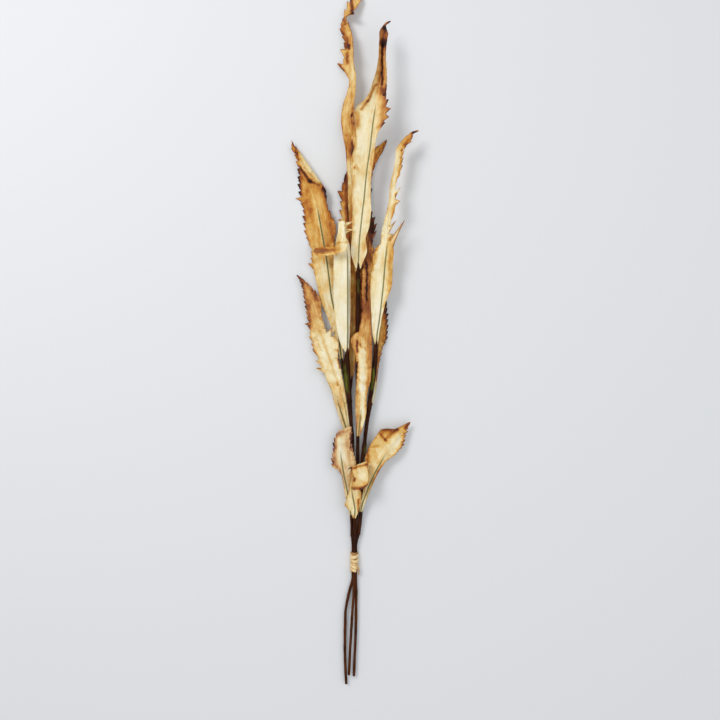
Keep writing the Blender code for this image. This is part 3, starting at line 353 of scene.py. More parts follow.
# How dark each leaf is: 0 is cream, 0.5 tan, 0.7 brown, 1 near black. "rim" darkens its margin and "tip" its last
# quarter, "grey" takes the warmth out, and "rib" is how olive its midrib is between the sketch heights in "olive".
# "roll" is how far its left and right margins curl in degrees, and "crumple" the height of its crumples in mm.
# A stroke runs from one sketch point to another: x, y, x, y, half width in squares, change of tone. Most strokes are
# the leaves' own tones, and those marked below darken as painted shade.
LOOKS = {
    "leaf_middle_front": {
        "tone": 0.22, "rim": 0.16, "tip": 0.0, "grey": 0.1, "olive": (107, 268),
        "rib": 0.85, "roll": (28, 12), "crumple": 1.2,
        "strokes": [
            (386, 90, 383, 124, 4.8, 0.36), (388.5, 96, 388, 116, 1.4, 0.25), (384, 95, 384, 95.5, 0.9, 0.6),
            (361, 109, 368, 101, 1.4, 0.42), (368, 101, 376, 84, 1.3, 0.40), (357, 113, 358, 126, 2.2, 0.30),
            (356, 165, 357, 169, 1.3, 0.30), (354, 167, 354, 168.5, 0.8, 0.5), (378, 128, 384, 122, 1.6, 0.15),
            (377, 92, 380.5, 60, 1.3, 0.10), (382, 84, 382.4, 46, 1.1, 0.5), (381, 92, 383.5, 45, 5.0, 0.26),
            (384.4, 44, 384.6, 30, 4.6, 0.42), (386, 28, 390, 21, 2.6, 0.55), (384, 32, 384, 48, 0.8, 0.15),
            (354, 176, 352, 196, 1.4, 0.14), (353, 215, 352.6, 245, 1.2, 0.12), (366, 238, 362, 266, 1.6, 0.12),
            (368, 118, 362, 150, 5, -0.05), (358, 185, 357, 240, 3, -0.04), (373, 150, 371, 165, 1.2, 0.12),
        ],
    },
    "leaf_middle_tall": {
        "tone": 0.37, "rim": 0.16, "tip": 0.04, "grey": 0.05, "olive": (150, 262),
        "rib": 0.1, "roll": (30, 35), "crumple": 2.2,
        "strokes": [
            (351, 0, 352, 12, 1.6, 0.42), (353, -10, 360, -17, 2.0, 0.25), (355, 13, 358, 13, 1.2, 0.5),
            (344, 19, 345, 24, 1.6, 0.35), (343, 26, 344, 34, 2.4, 0.24), (347, 38, 347, 47, 2.6, 0.30),
            (349.4, 45, 349.6, 49, 0.9, 0.45), (347, 54, 347.4, 62, 2.2, 0.34), (337, 58, 343, 71, 1.8, 0.26),
            (338, 50, 341, 54, 1.5, 0.30), (352, 92, 352, 136, 1.3, 0.14), (352, 114, 352.2, 116, 0.8, 0.5),
            (348, 136, 355, 158, 3.2, 0.22), (352, 140, 353, 156, 1.0, 0.3), (349, 162, 349, 182, 2.4, -0.12),
            (346, 95, 344, 128, 2.6, -0.06), (352, 50, 353, 78, 1.6, -0.1), (353, 200, 355, 262, 5, 0.22),
            (356, 3, 360, 5, 2, -0.06),
        ],
    },
    "leaf_middle_rear": {
        "tone": 0.5, "rim": 0.14, "tip": 0.1, "grey": 0.0, "olive": (300, 350),
        "rib": 0.1, "roll": (20, 20), "crumple": 0.9,
        "strokes": [
            # The broad stroke from y 200 to 330 is painted shade on the part of this leaf lying behind
            # leaf_middle_lower.
            (376, 152, 383, 143, 1.6, -0.1), (364, 200, 366, 330, 7, 0.2), (371.5, 182, 371.8, 190, 1.4, 0.4),
        ],
    },
    "leaf_middle_lower": {
        "tone": 0.46, "rim": 0.12, "tip": 0.2, "grey": 0.1, "olive": (412, 437),
        "rib": 0.8, "roll": (30, 15), "crumple": 2.4,
        "strokes": [
            # Painted shade: the curled top from y 214 to 243 is darkened for its shaded turned-back side, the thin
            # line at x 366.6 is the shade in the gap along a fold, and the broad stroke from y 250 to 322 is the
            # shade over the leaf's upper part.
            (371, 214, 372, 243, 4.2, 0.22), (366.6, 262, 366.6, 300, 0.9, 0.45), (366, 250, 366, 322, 5, 0.14),
            (354, 334, 359, 346, 3.4, -0.04), (357, 341, 357.6, 351, 1.0, 0.5), (357, 363, 357, 372, 0.9, 0.5),
            (362, 338, 364, 350, 2.2, -0.12), (360, 344, 361.5, 347, 0.9, 0.35), (364.5, 347, 365.5, 351, 0.8, 0.3),
            (362.5, 353, 362.5, 386, 4.4, -0.36), (368, 338, 368, 386, 1.2, 0.10), (358, 377, 363.5, 386, 1.0, 0.22),
            (358.5, 392, 358.5, 414, 1.8, -0.02), (363, 388, 362.5, 425, 2.6, -0.36),
            (366.8, 386, 366.6, 410, 1.1, 0.08), (360.4, 416, 360.6, 436, 1.2, 0.2),
        ],
    },
    "leaf_middle_lowest": {
        "tone": 0.27, "rim": 0.2, "tip": 0.12, "grey": 0.05, "olive": (489, 518),
        "rib": 0.9, "roll": (35, 25), "crumple": 2.0,
        "strokes": [
            # The small near-black spot from (354.6, 478.5) to (354.7, 481) is painted shade in a gap of the blade
            # beside its fold.
            (348, 470, 366, 464.5, 1.6, 0.36), (354.6, 478.5, 354.7, 481, 0.8, 0.5), (352, 488, 362, 489, 1.5, 0.3),
            (362, 489, 370, 483, 1.4, 0.28), (358.6, 500, 358.6, 511, 1.0, 0.42), (344, 504, 348, 512, 1.6, 0.14),
            (360, 476, 366, 480, 3.4, -0.1), (353, 516, 354, 519, 1.4, 0.25),
        ],
    },
    "leaf_left_front": {
        "tone": 0.06, "rim": 0.1, "tip": 0.12, "grey": 0.0, "olive": (252, 352),
        "rib": 0.9, "roll": (16, 10), "crumple": 0.8,
        "strokes": [
            # The thin stroke from (335, 243) to (349, 242) is a crease drawn as painted shade along the lobe's fold
            # line.
            (333, 250, 316, 251, 4.6, 0.55), (341, 249, 347, 248, 2.6, 0.1), (335, 243, 349, 242, 0.9, 0.2),
            (336, 330, 334, 312, 1.6, 0.12), (345, 226, 353, 224, 1.4, 0.22), (346, 230, 352, 231, 0.8, 0.45),
            (347, 237, 352, 239, 1.2, 0.5), (344, 343, 346, 351, 1.8, 0.10), (341, 226, 339, 250, 1.4, 0.14),
        ],
    },
    "leaf_left_outer": {
        "tone": 0.43, "rim": 0.12, "tip": 0.1, "grey": 0.0, "olive": (208, 360),
        "rib": 1.0, "roll": (18, 15), "crumple": 1.7,
        "strokes": [
            (298, 168, 299.5, 194, 2.2, 0.42), (293.4, 142, 299, 160, 1.3, 0.3), (302, 158, 317, 180, 5.0, -0.26),
            (301, 169, 310, 181, 1.2, 0.42), (310, 181, 319, 184.5, 1.1, 0.42), (323.5, 188, 326.6, 196, 1.7, 0.55),
            (330, 225, 334, 240, 3.0, 0.2), (306, 190, 311, 215, 5, 0.1), (320, 232, 324, 262, 5, 0.02),
            (322, 266, 329, 292, 9, -0.22), (330, 300, 339, 350, 7, -0.18), (304, 176, 322, 192, 4.5, 0.14),
            (310, 246, 316, 258, 2.0, -0.1), (303, 205, 305, 240, 1.6, 0.08), (326, 200, 331, 222, 2.4, 0.16),
            (314, 200, 319, 225, 1.4, -0.12),
        ],
    },
    "leaf_left_inner": {
        "tone": 0.62, "rim": 0.1, "tip": 0.12, "grey": 0.0, "olive": (300, 378),
        "rib": 0.3, "roll": (25, 20), "crumple": 1.1,
        "strokes": [
            (342, 204, 343, 228, 2.6, -0.28), (345, 170, 350, 225, 2, 0.12), (349, 180, 351, 240, 1.5, 0.14),
            (353, 262, 353, 345, 2.4, -0.14), (352.5, 345, 352.5, 377, 3, -0.08),
        ],
    },
    "leaf_left_lower": {
        "tone": 0.25, "rim": 0.16, "tip": 0.16, "grey": 0.12, "olive": (395, 427),
        "rib": 0.5, "roll": (22, 22), "crumple": 2.3,
        "strokes": [
            (299, 277, 314, 318, 8.0, 0.24), (303, 284, 306, 318, 1.8, 0.1), (308, 284, 318, 300, 1.8, 0.16),
            (308, 306, 310, 326, 1.8, 0.2), (312, 290, 322, 318, 2.4, 0.12), (324, 338, 336, 376, 5, -0.08),
            (309, 340, 318, 368, 2, 0.12), (306, 322, 308, 327, 1.4, 0.2), (320, 331, 338, 384, 1.4, 0.2),
            (328, 334, 338, 352, 3.6, -0.08), (318, 345, 330, 380, 5, -0.06), (337, 350, 342, 357, 1.2, 0.35),
            (338.5, 360, 340, 368, 1.0, 0.45), (338, 383, 344, 406, 1.3, 0.14), (322, 376, 340, 404, 2.4, 0.04),
            (340, 385, 345, 424, 3, 0.06),
        ],
    },
    "leaf_left_short": {
        "tone": 0.26, "rim": 0.1, "tip": 0.0, "grey": 0.2, "olive": (404, 436),
        "rib": 0.9, "roll": (20, 20), "crumple": 0.8,
        "strokes": [(338.6, 404, 343.6, 421, 0.9, 0.3)],
    },
    "leaf_left_lowest": {
        "tone": 0.31, "rim": 0.22, "tip": 0.1, "grey": 0.35, "olive": (453, 516),
        "rib": 0.9, "roll": (30, 22), "crumple": 1.8,
        "strokes": [
            (334, 440, 335, 460, 2.4, 0.26), (335, 436, 351, 429, 1.6, 0.2), (350.6, 433, 351, 450, 1.0, 0.45),
            (340, 440, 342, 458, 3.0, -0.2), (346, 440, 350, 465, 1.8, 0.12), (332, 462, 340, 470, 1.5, 0.3),
            (341, 472, 343, 484, 1.5, 0.14),
        ],
    },
    "leaf_right_front": {
        "tone": 0.17, "rim": 0.22, "tip": 0.16, "grey": 0.0, "olive": (245, 346),
        "rib": 0.9, "roll": (20, 8), "crumple": 1.4,
        "strokes": [
            (390, 240, 390, 300, 3.6, 0.24), (396, 247, 404, 226, 2.4, 0.30), (391, 232, 396, 225, 1.6, 0.26),
            (402, 150, 397, 182, 1.6, 0.30), (405, 145, 415, 132, 2.4, 0.30), (414, 133, 418, 131, 1.4, 0.4),
            (396, 194, 396.4, 198, 1.2, 0.55), (403, 160, 402, 178, 1.2, 0.35), (396, 200, 392, 218, 2, 0.22),
            (400, 150, 394, 172, 1.6, -0.02), (376, 250, 373, 270, 1.4, 0.22), (379, 250, 377, 330, 3, -0.1),
            (386, 302, 382, 308, 1.6, 0.2), (382, 236, 376, 250, 1.6, 0.2),
        ],
    },
    "leaf_right_short": {
        "tone": 0.5, "rim": 0.22, "tip": 0.12, "grey": 0.0, "olive": (360, 404),
        "rib": 0.2, "roll": (20, 8), "crumple": 1.2,
        "strokes": [
            (380, 318, 381, 352, 2.2, -0.12), (387, 302, 388.5, 338, 2.2, 0.32), (374.6, 383, 373.6, 402, 2.2, -0.46),
            (378, 350, 377, 364, 1.4, 0.1),
        ],
    },
    "leaf_right_lowest": {
        "tone": 0.27, "rim": 0.22, "tip": 0.08, "grey": 0.0, "olive": (455, 512),
        "rib": 0.9, "roll": (25, 12), "crumple": 1.8,
        "strokes": [
            (401, 452, 405, 434, 2.0, 0.24), (406, 427, 409.6, 422, 2.0, 0.22), (383, 430, 396, 430, 3.0, 0.18),
            (380, 434, 385, 440, 1.4, 0.26), (385, 440, 397, 430, 1.4, 0.24), (371, 446, 379, 446, 1.2, 0.2),
            (382, 432, 392, 431, 4, 0.16), (368, 450, 368, 462, 1.6, 0.26), (390, 446, 400, 440, 4.0, -0.12),
            (374, 450, 378, 462, 2.4, 0.10), (381, 466, 371, 484, 1.6, 0.16),
        ],
    },
}

# Where each stem is olive, in strokes like those of the leaves, with a strength in place of the tone
SHEATHS = {
    "stem_left": [
        (344.6, 366, 346, 376, 1.2, 1.0), (345.8, 374, 346.6, 390, 2.4, 1.0), (341, 362, 342, 372, 0.9, 0.8),
    ],
    "stem_middle": [(358.2, 282, 358.2, 292, 1.5, 0.9)],
    "stem_right": [
        (374.4, 369, 373.4, 376, 1.0, 0.9), (373.2, 374, 371.6, 388, 1.8, 1.0), (365.8, 447, 366, 454, 1.6, 0.9),
    ],
}


# Places in the sketch and smooth curves

def at(x, y, z):
    """The place in metres of sketch point (x, y), for something z millimetres above the surface."""
    size = SQUARE * (1 - (z * MM - EYE_LEVEL) / EYE_HEIGHT)
    return Vector(((x - SKETCH_CENTRE) * size, (SKETCH_CENTRE - y) * size, z * MM)) - MIDDLE


def in_sketch(place):
    """The sketch point that a place is seen at."""
    size = SQUARE * (1 - (place.z - EYE_LEVEL) / EYE_HEIGHT)
    seen = place + MIDDLE
    return SKETCH_CENTRE + seen.x / size, SKETCH_CENTRE - seen.y / size


def smooth_through(rows):
    """A function of 0 to 1 that runs smoothly through the rows, spaced by their distance in plan."""
    reach = [0.0]
    for a, b in zip(rows, rows[1:]):
        reach.append(reach[-1] + math.dist(a[:2], b[:2]))
    knots = [r / reach[-1] for r in reach]

    def rate(i, k):
        slopes = [
            (rows[j + 1][k] - rows[j][k]) / (knots[j + 1] - knots[j])
            for j in (i - 1, i)
            if 0 <= j < len(rows) - 1
        ]
        if len(slopes) == 1:
            return slopes[0]
        before, after = slopes
        return 2 * before * after / (before + after) if before * after > 0 else 0

    rates = [[rate(i, k) for k in range(len(rows[0]))] for i in range(len(rows))]

    def value(t):
        i = min(max(bisect.bisect_right(knots, t) - 1, 0), len(rows) - 2)
        span = knots[i + 1] - knots[i]
        f = (t - knots[i]) / span
        start, end = (1 + 2 * f) * (1 - f) ** 2, f * f * (3 - 2 * f)
        leave, arrive = f * (1 - f) ** 2 * span, f * f * (f - 1) * span
        return [
            start * rows[i][k] + end * rows[i + 1][k] + leave * rates[i][k] + arrive * rates[i + 1][k]
            for k in range(len(rows[0]))
        ]

    return value


def eased(value, low, high):
    """0 below low, 1 above high and smooth between."""
    share = min(max((value - low) / (high - low), 0), 1)
    return share * share * (3 - 2 * share)


def wobble(*place):
    """Smooth noise from about -1 to 1."""
    return noise.noise(Vector(place)) * 1.6


def half_blade(width, slope, curl, roll, u):
    """How far out and up a half blade gets at share u of its width, and its slope there: it bends all the way
    across by curl either side of its slope, and its margin by roll more, all in degrees."""
    start, bend = math.radians(slope - curl), math.radians(2 * curl)
    inner = min(u, ROLL_FROM)
    out = width * (math.sin(start + bend * inner) - math.sin(start)) / bend
    up = width * (math.cos(start) - math.cos(start + bend * inner)) / bend
    angle = start + bend * inner
    if u > ROLL_FROM:
        left, share = width * (1 - ROLL_FROM), (u - ROLL_FROM) / (1 - ROLL_FROM)
        turn = math.radians(roll)
        out += left * (math.sin(angle + turn * share) - math.sin(angle)) / turn
        up += left * (math.cos(angle) - math.cos(angle + turn * share)) / turn
        angle += turn * share
    return out, up, angle


def folded(place, line, heading, angle, radius):
    """What lies past the line bent up and over it, round a radius, or down and under for an angle below 0."""
    turn = math.radians(heading)
    over = Vector((-math.sin(turn), math.cos(turn), 0))
    past = (place - line).dot(over)
    if past <= 0:
        return place
    sign = 1 if angle > 0 else -1
    full = math.radians(abs(angle))
    bent = min(past / radius, full)
    straight = max(past - radius * full, 0)
    out = radius * math.sin(bent) + straight * math.cos(full)
    up = radius * (1 - math.cos(bent)) + straight * math.sin(full)
    return place + over * (out - past) + Vector((0, 0, sign * up))


def stroke_sum(strokes, x, y):
    """How much the strokes change a value at sketch point (x, y)."""
    total = 0
    for x0, y0, x1, y1, width, amount in strokes:
        dx, dy = x1 - x0, y1 - y0
        share = min(max(((x - x0) * dx + (y - y0) * dy) / (dx * dx + dy * dy), 0), 1)
        away = ((x - x0 - share * dx) ** 2 + (y - y0 - share * dy) ** 2) / (width * width)
        if away < 5:
            total += amount * math.exp(-away)
    return total


# Leaf surfaces

class Leaf:
    """The surface of one leaf: t runs from base to tip, u from -1 at the left edge to 1 at the right."""

    def __init__(self, shape, looks):
        self.shape, self.looks = shape, looks
        self.station = smooth_through(shape["stations"])
        draw = random.Random(shape["seed"])
        self.waves = [(draw.uniform(0, math.tau), draw.uniform(0, math.tau)) for _ in range(2)]
        first, last = shape["stations"][0], shape["stations"][-1]
        self.length = math.dist(first[:2], last[:2]) * SQUARE
        self.teeth = {side: [draw.uniform(0.55, 1.15) for _ in range(shape["rows"])] for side in (-1, 1)}
        self.small_teeth = {side: [draw.uniform(0.2, 0.75) for _ in range(shape["rows"])] for side in (-1, 1)}
        self.rows = {}

    def row(self, t):
        """What all points level with t share."""
        if t not in self.rows:
            values = self.station(t)
            near, far = self.station(max(t - 0.004, 0)), self.station(min(t + 0.004, 1))
            along = (at(*far[:3]) - at(*near[:3])).normalized()
            right = along.cross(Vector((0, 0, 1))).normalized()
            sides = {}
            for side in (-1, 1):
                right_half = side > 0
                width, slope = max(values[3 + right_half], NARROWEST) * SQUARE, values[5 + right_half]
                turned = wobble(t * self.length * 55, self.shape["seed"], side * 7)
                roll = self.looks["roll"][right_half] * (0.45 + 0.9 * turned) * eased(t, 0.1, 0.4) or 1
                sides[side] = (width, slope, roll, self.ruffle(t, side), self.tooth(t, side))
            self.rows[t] = (at(*values[:3]), along, right, right.cross(along), sides)
        return self.rows[t]

    def ruffle(self, t, side):
        """The wave of an edge, in metres."""
        phases = self.waves[side > 0]
        grown = math.sin(math.pi * min(1, t * 1.4)) ** 0.5 if t < 0.7 else max(0, 1 - t) ** 0.5 * 1.6
        wave = sum(
            math.sin(math.tau * t * self.length / length + phase) / (k + 1)
            for k, (length, phase) in enumerate(zip(RUFFLE_LENGTHS, phases))
        )
        flutter = wobble(t * self.length * 130, self.shape["seed"] + 3, side * 5) * 0.7
        return self.shape["ruffle"] * MM * grown * (wave + flutter)

    def tooth(self, t, side):
        """How far the edge stands out at t for its teeth, and how far along, in metres."""
        rows = self.shape["rows"]
        row = min(int(t * rows + 1e-9), rows - 1)
        phase = t * rows - row
        starts, *sizes = self.shape["teeth"]
        grown = min(max((t - starts) / 0.2, 0), 1) * min((1 - t) / 0.12, 1) * sizes[side > 0] * SQUARE
        notch = NOTCH * grown * (1 - min(phase, 1 - phase) / 0.3) if min(phase, 1 - phase) < 0.3 else 0
        big, lean = grown * self.teeth[side][row] * TOOTH_GROWTH, TOOTH_LEAN
        for name, y, length, leaning in self.shape.get("lobes", []):
            here = self.station(row / rows)[1] >= y > self.station((row + 1) / rows)[1]
            if here and side == (-1 if name == "left" else 1):
                big, lean = length * SQUARE, leaning
        out = big * saw(phase, 0, TOOTH_AT, 1)
        small = grown * self.small_teeth[side][row] * saw(phase, 0, SMALL_TOOTH_AT, 0.5)
        reach = max(out, small) - notch
        return reach / math.hypot(1, lean), reach * lean / math.hypot(1, lean)

    def point(self, t, u):
        """The middle of the blade's thickness, after its folds."""
        place, along, right, up, sides = self.row(t)
        side = -1 if u < 0 else 1
        width, slope, roll, ruffle, (tooth_out, tooth_along) = sides[side]
        share = abs(u)
        out, rise, angle = half_blade(width, slope, self.shape["curl"], roll, share)
        across, run = side * share * width, t * self.length
        grow = eased(share, 0.2 if abs(tooth_out) + abs(tooth_along) > LOBE else 0.55, 1)
        out += tooth_out * grow * math.cos(angle)
        rise += tooth_out * grow * math.sin(angle)
        calm = min(width / RUFFLED_WIDTH, 1)
        rise += ruffle * calm * share * share + self.texture(across, run, share, t)
        tip = TIP_WAVE * wobble(across * 150, self.shape["seed"], 0.0) * eased(t, 0.86, 1) * calm
        place = place + right * side * out + up * rise + along * (tooth_along * grow + tip)
        for x, y, heading, turn, radius in self.shape.get("folds", []):
            place = folded(place, at(x, y, place.z / MM), heading, turn, radius * MM)
        return Vector((place.x, place.y, max(place.z, LOWEST)))

    def texture(self, across, run, share, t):
        """The height of crumples, creases, side veins and the midrib, in metres."""
        seed, crumple = self.shape["seed"], self.looks["crumple"]
        fade = eased(t, 0.02, 0.15) * (1 - eased(t, 0.93, 1) * 0.7)
        waves = wobble(across * 45, run * 30, seed) * 0.75 + wobble(across * 130, run * 75, seed + 9) * 0.6
        waves += wobble(across * 320, run * 160, seed + 20) * 0.12
        for number, (fine, slant) in enumerate(CREASES):
            line = wobble((across + slant * run) * fine, run * fine * 0.45, seed + 60 + number)
            waves -= (1.0 - 0.35 * number) * max(0, 1 - abs(line) * 3.5) ** 2
        height = crumple * MM * waves * fade * (0.25 + 0.75 * share)
        vein = (run - abs(across) * VEIN_SLANT + wobble(across * 60, run * 40, seed + 30) * MM) / VEIN_SPACING
        ridge = 1 - abs(2 * (vein % 1) - 1)
        height += VEIN_HEIGHT * ridge ** 4 * min(share * 4, 1) * fade
        rib = max(0, 1 - abs(across) / (RIB_HALF_WIDTH * (1 - 0.6 * t)))
        return height + RIB_HEIGHT * (1 - 0.7 * t) * eased(rib, 0, 1)


def saw(phase, start, peak, end):
    """A hooked tooth: a long rise to the peak and a short fall."""
    if not start < phase < end:
        return 0
    if phase <= peak:
        return ((phase - start) / (peak - start)) ** 1.5
    return (end - phase) / (end - peak)


def across_share(column_share):
    """The share of a half blade's width for a column's share, closer together at the rib and the margin."""
    return column_share - 0.55 * math.sin(math.tau * column_share) / math.tau


# Shared steps for meshes

def grid(name, columns, rows, place):
    """A sheet of columns by rows whose point at shares (u, t) from 0 to 1 goes to place(u, t)."""
    bpy.ops.object.select_all(action="DESELECT")
    bpy.ops.mesh.primitive_grid_add(x_subdivisions=columns, y_subdivisions=rows, size=2)
    piece = bpy.context.active_object
    piece.name = piece.data.name = name
    for vert in piece.data.vertices:
        u = round((vert.co.x + 1) / 2 * columns) / columns
        t = round((vert.co.y + 1) / 2 * rows) / rows
        vert.co = place(u, t)
    return piece


def store(piece, name, values):
    """Keeps one number or triple for each vertex, for the materials to read."""
    if isinstance(values[0], tuple):
        field = piece.data.attributes.new(name, "FLOAT_VECTOR", "POINT")
        field.data.foreach_set("vector", [part for value in values for part in value])
    else:
        piece.data.attributes.new(name, "FLOAT", "POINT").data.foreach_set("value", values)


def pick(*pieces):
    """Selects these pieces alone, with the first one active."""
    bpy.ops.object.select_all(action="DESELECT")
    for piece in pieces:
        piece.select_set(True)
    bpy.context.view_layer.objects.active = pieces[0]


def face_outward(piece, weld=False):
    """Turns every face outward, once any points that coincide are joined."""
    pick(piece)
    bpy.ops.object.mode_set(mode="EDIT")
    bpy.ops.mesh.select_all(action="SELECT")
    if weld:
        bpy.ops.mesh.remove_doubles(threshold=0.001 * MM)
    bpy.ops.mesh.normals_make_consistent(inside=False)
    bpy.ops.object.mode_set(mode="OBJECT")


def apply(piece, kind, **settings):
    """Adds a modifier and applies it."""
    bpy.context.view_layer.objects.active = piece
    added = piece.modifiers.new(kind.lower(), kind)
    for key, value in settings.items():
        setattr(added, key, value)
    bpy.ops.object.modifier_apply(modifier=added.name)


def hand_over(piece, node, finish, angle=40):
    """Smooths a finished piece and lets it stand for its node."""
    piece.data.materials.clear()
    piece.data.materials.append(finish)
    pick(piece)
    bpy.ops.object.shade_smooth_by_angle(angle=math.radians(angle))
    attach(piece, "root")
    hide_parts(node)


# Leaves

def build_leaf(name):
    """A thin blade with its teeth, rolled margins, crumples, side veins and midrib."""
    shape, looks = LEAVES[name], LOOKS[name]
    leaf = Leaf(shape, looks)
    rows = shape["rows"] * ROWS_PER_TOOTH
    tones, edges, blades, ribs = [], [], [], []
    low, high = looks["olive"]

    def place(u, t):
        side = -1 if u < 0.5 else 1
        share = across_share(abs(2 * u - 1))
        spot = leaf.point(t, side * share)
        width, *_, tooth = leaf.row(t)[4][side]
        reach = sum(tooth)
        x, y = in_sketch(spot)
        ribs.append(looks["rib"] * eased(y, low - 6, low + 10) * (1 - eased(y, high - 4, high + 4)))
        margin = (1 - share) * width + reach * (1 - eased(share, 0.55, 1))
        margin = min(margin, (1 - t) * leaf.length)
        worn = 0.5 + 0.5 * wobble(t * 9, side * 3, shape["seed"] + 40)
        rim = looks["rim"] * math.exp(-margin / ((0.8 + 2.6 * worn) * MM)) * eased(t, 0.08, 0.4) * (0.3 + 1.1 * worn)
        point = 0.5 * min(reach * eased(share, 0.8, 1) / (2.5 * MM), 1)
        tone = looks["tone"] + rim + point * looks["rim"] * 2.2 * (0.25 + worn) + looks["tip"] * eased(t, 0.75, 1)
        x += 0.7 * wobble(x * 0.2, y * 0.2, 1) + 0.35 * wobble(x * 0.7, y * 0.7, 2)
        y += 1.1 * wobble(x * 0.2, y * 0.2, 3)
        patch = 0.08 * wobble(x * 0.09, y * 0.06, shape["seed"] + 50)
        patch += 0.06 * wobble(x * 0.35, y * 0.16, shape["seed"])
        tones.append(tone + patch + stroke_sum(looks["strokes"], x, y))
        edges.append(margin / MM)
        blades.append((side * share * width, t * leaf.length, shape["seed"]))
        return spot

    piece = grid(f"{name}_blade", COLUMNS, rows, place)
    for field, values in (("tone", tones), ("margin", edges), ("rib", ribs), ("blade", blades)):
        store(piece, field, values)
    apply(piece, "SOLIDIFY", thickness=BLADE, offset=0)
    face_outward(piece)
    hand_over(piece, name, leaf_finish(name, looks["grey"]))


# Stems and stalks

def tube(name, points, around=14):
    """A closed tube through points that each hold a place and a radius."""
    count = len(points)

    def place(u, t):
        row = round(t * (count + 1))
        k = min(max(row - 1, 0), count - 1)
        centre, radius = points[k]
        ahead = (points[min(k + 1, count - 1)][0] - points[max(k - 1, 0)][0]).normalized()
        side = ahead.cross(Vector((0, 0, 1))).normalized()
        turn = math.tau * (u % 1)
        reach = 0 if row in (0, count + 1) else radius
        return centre + (side * math.cos(turn) + side.cross(ahead) * math.sin(turn)) * reach

    piece = grid(name, around, count + 1, place)
    face_outward(piece, weld=True)
    return piece


def level_with(route, y):
    """The stem's axis and radius level with y in the sketch."""
    for low, high in zip(route, route[1:]):
        if low[1] >= y >= high[1]:
            share = (low[1] - y) / (low[1] - high[1])
            return [a + (b - a) * share for a, b in zip(low, high)]
    raise ValueError(y)


def stalk_points(route, start, leaf, radius):
    """A stalk from the stem's axis to just under its leaf's base, thick at its root and thinner at the leaf."""
    root, stations = level_with(route, start), LEAVES[leaf]["stations"]
    begin, base = at(*root[:3]), at(*stations[0][:3])
    inner = at(*stations[1][:3])
    points = []
    for k in range(STALK_STEPS + 1):
        share = k / STALK_STEPS
        swell = 1 + 0.5 * math.exp(-share * 6)
        points.append((begin.lerp(base, share), radius * swell * (1 - 0.28 * share)))
    for share in (0.12, 0.24, 0.34):
        sunk = base.lerp(inner, share) - Vector((0, 0, 0.5 * MM))
        points.append((sunk, 1.5 * MM * (0.8 - 1.6 * share)))
    return points


def build_stem(name):
    """The main stem with its stalks grown together, ridged like dry bark."""
    shape = STEMS[name]
    run = smooth_through(shape["route"])
    route = [run(k / (STEM_POINTS - 1)) for k in range(STEM_POINTS)]
    bumpy = [(at(x, y, z), radius * MM * (1 + 0.07 * wobble(y * 0.09, z, len(name)))) for x, y, z, radius in route]
    stem = tube(f"{name}_bark", bumpy)
    top = shape["top"]
    parts = [
        tube(f"{name}_{leaf}", stalk_points(route, start, leaf, thickness * MM))
        for start, leaf, thickness in shape["stalks"]
    ]
    parts.append(tube(f"{name}_{top}", top_points(route, top)))
    pick(stem, *parts)
    bpy.ops.object.join()
    apply(stem, "REMESH", mode="VOXEL", voxel_size=BARK_GRAIN)
    apply(stem, "SMOOTH", factor=0.5, iterations=5)
    moved = []
    for vert in stem.data.vertices:
        place = vert.co
        ridge = sum(
            wobble(place.x * fine, place.y * long, place.z * fine) * high for fine, long, high in BARK_RIDGES
        )
        moved.append(place + vert.normal * ridge * MM)
    olive = []
    for vert, place in zip(stem.data.vertices, moved):
        vert.co = (place.x, place.y, max(place.z, 0.02 * MM))
        x, y = in_sketch(place)
        x += wobble(place.x * 500, place.y * 70, place.z * 500) * 0.9
        y += wobble(place.x * 900, place.y * 40, place.z * 900) * 4
        olive.append(stroke_sum(SHEATHS[name], x, y))
    store(stem, "olive", olive)
    hand_over(stem, name, bark_finish(name), 60)


def top_points(route, leaf):
    """The end of the stem carried on under the rib of the leaf at its top."""
    stations = LEAVES[leaf]["stations"]
    end = route[-1]
    points = [(at(*end[:3]), end[3] * MM)]
    for k in range(1, 9):
        share = k / 8
        values = smooth_through(stations)(0.055 * share)
        drop = Vector((0, 0, (0.4 + 0.5 * share) * MM))
        points.append((at(*values[:3]) - drop, end[3] * MM * (0.8 - 0.62 * share)))
    return points


# Tie

def wrap(turn, out):
    """The point round the three tied stems that faces turn, standing out from their surface, without its Y."""
    corners = (
        (at(TIE_X + TIED_SIDE, 561, TIED_LOW), -90),
        (at(TIE_X, 561, TIED_HIGH), 30),
        (at(TIE_X - TIED_SIDE, 561, TIED_LOW), 150),
    )
    degrees = (math.degrees(turn) + 90) % 360 - 90
    radius = TIED_RADIUS + GAP + out
    share = (degrees + 90) % 120 / 120
    k = min(int((degrees + 90) // 120), 2)
    here, there = corners[k], corners[(k + 1) % 3]
    if share < BENDING:
        facing = math.radians(here[1] + 120 * share / BENDING)
        place = here[0] + Vector((math.cos(facing), 0, math.sin(facing))) * radius
    else:
        facing = math.radians(here[1] + 120)
        face = Vector((math.cos(facing), 0, math.sin(facing))) * radius
        place = (here[0] + face).lerp(there[0] + face, (share - BENDING) / (1 - BENDING))
    return place.x, place.z, facing


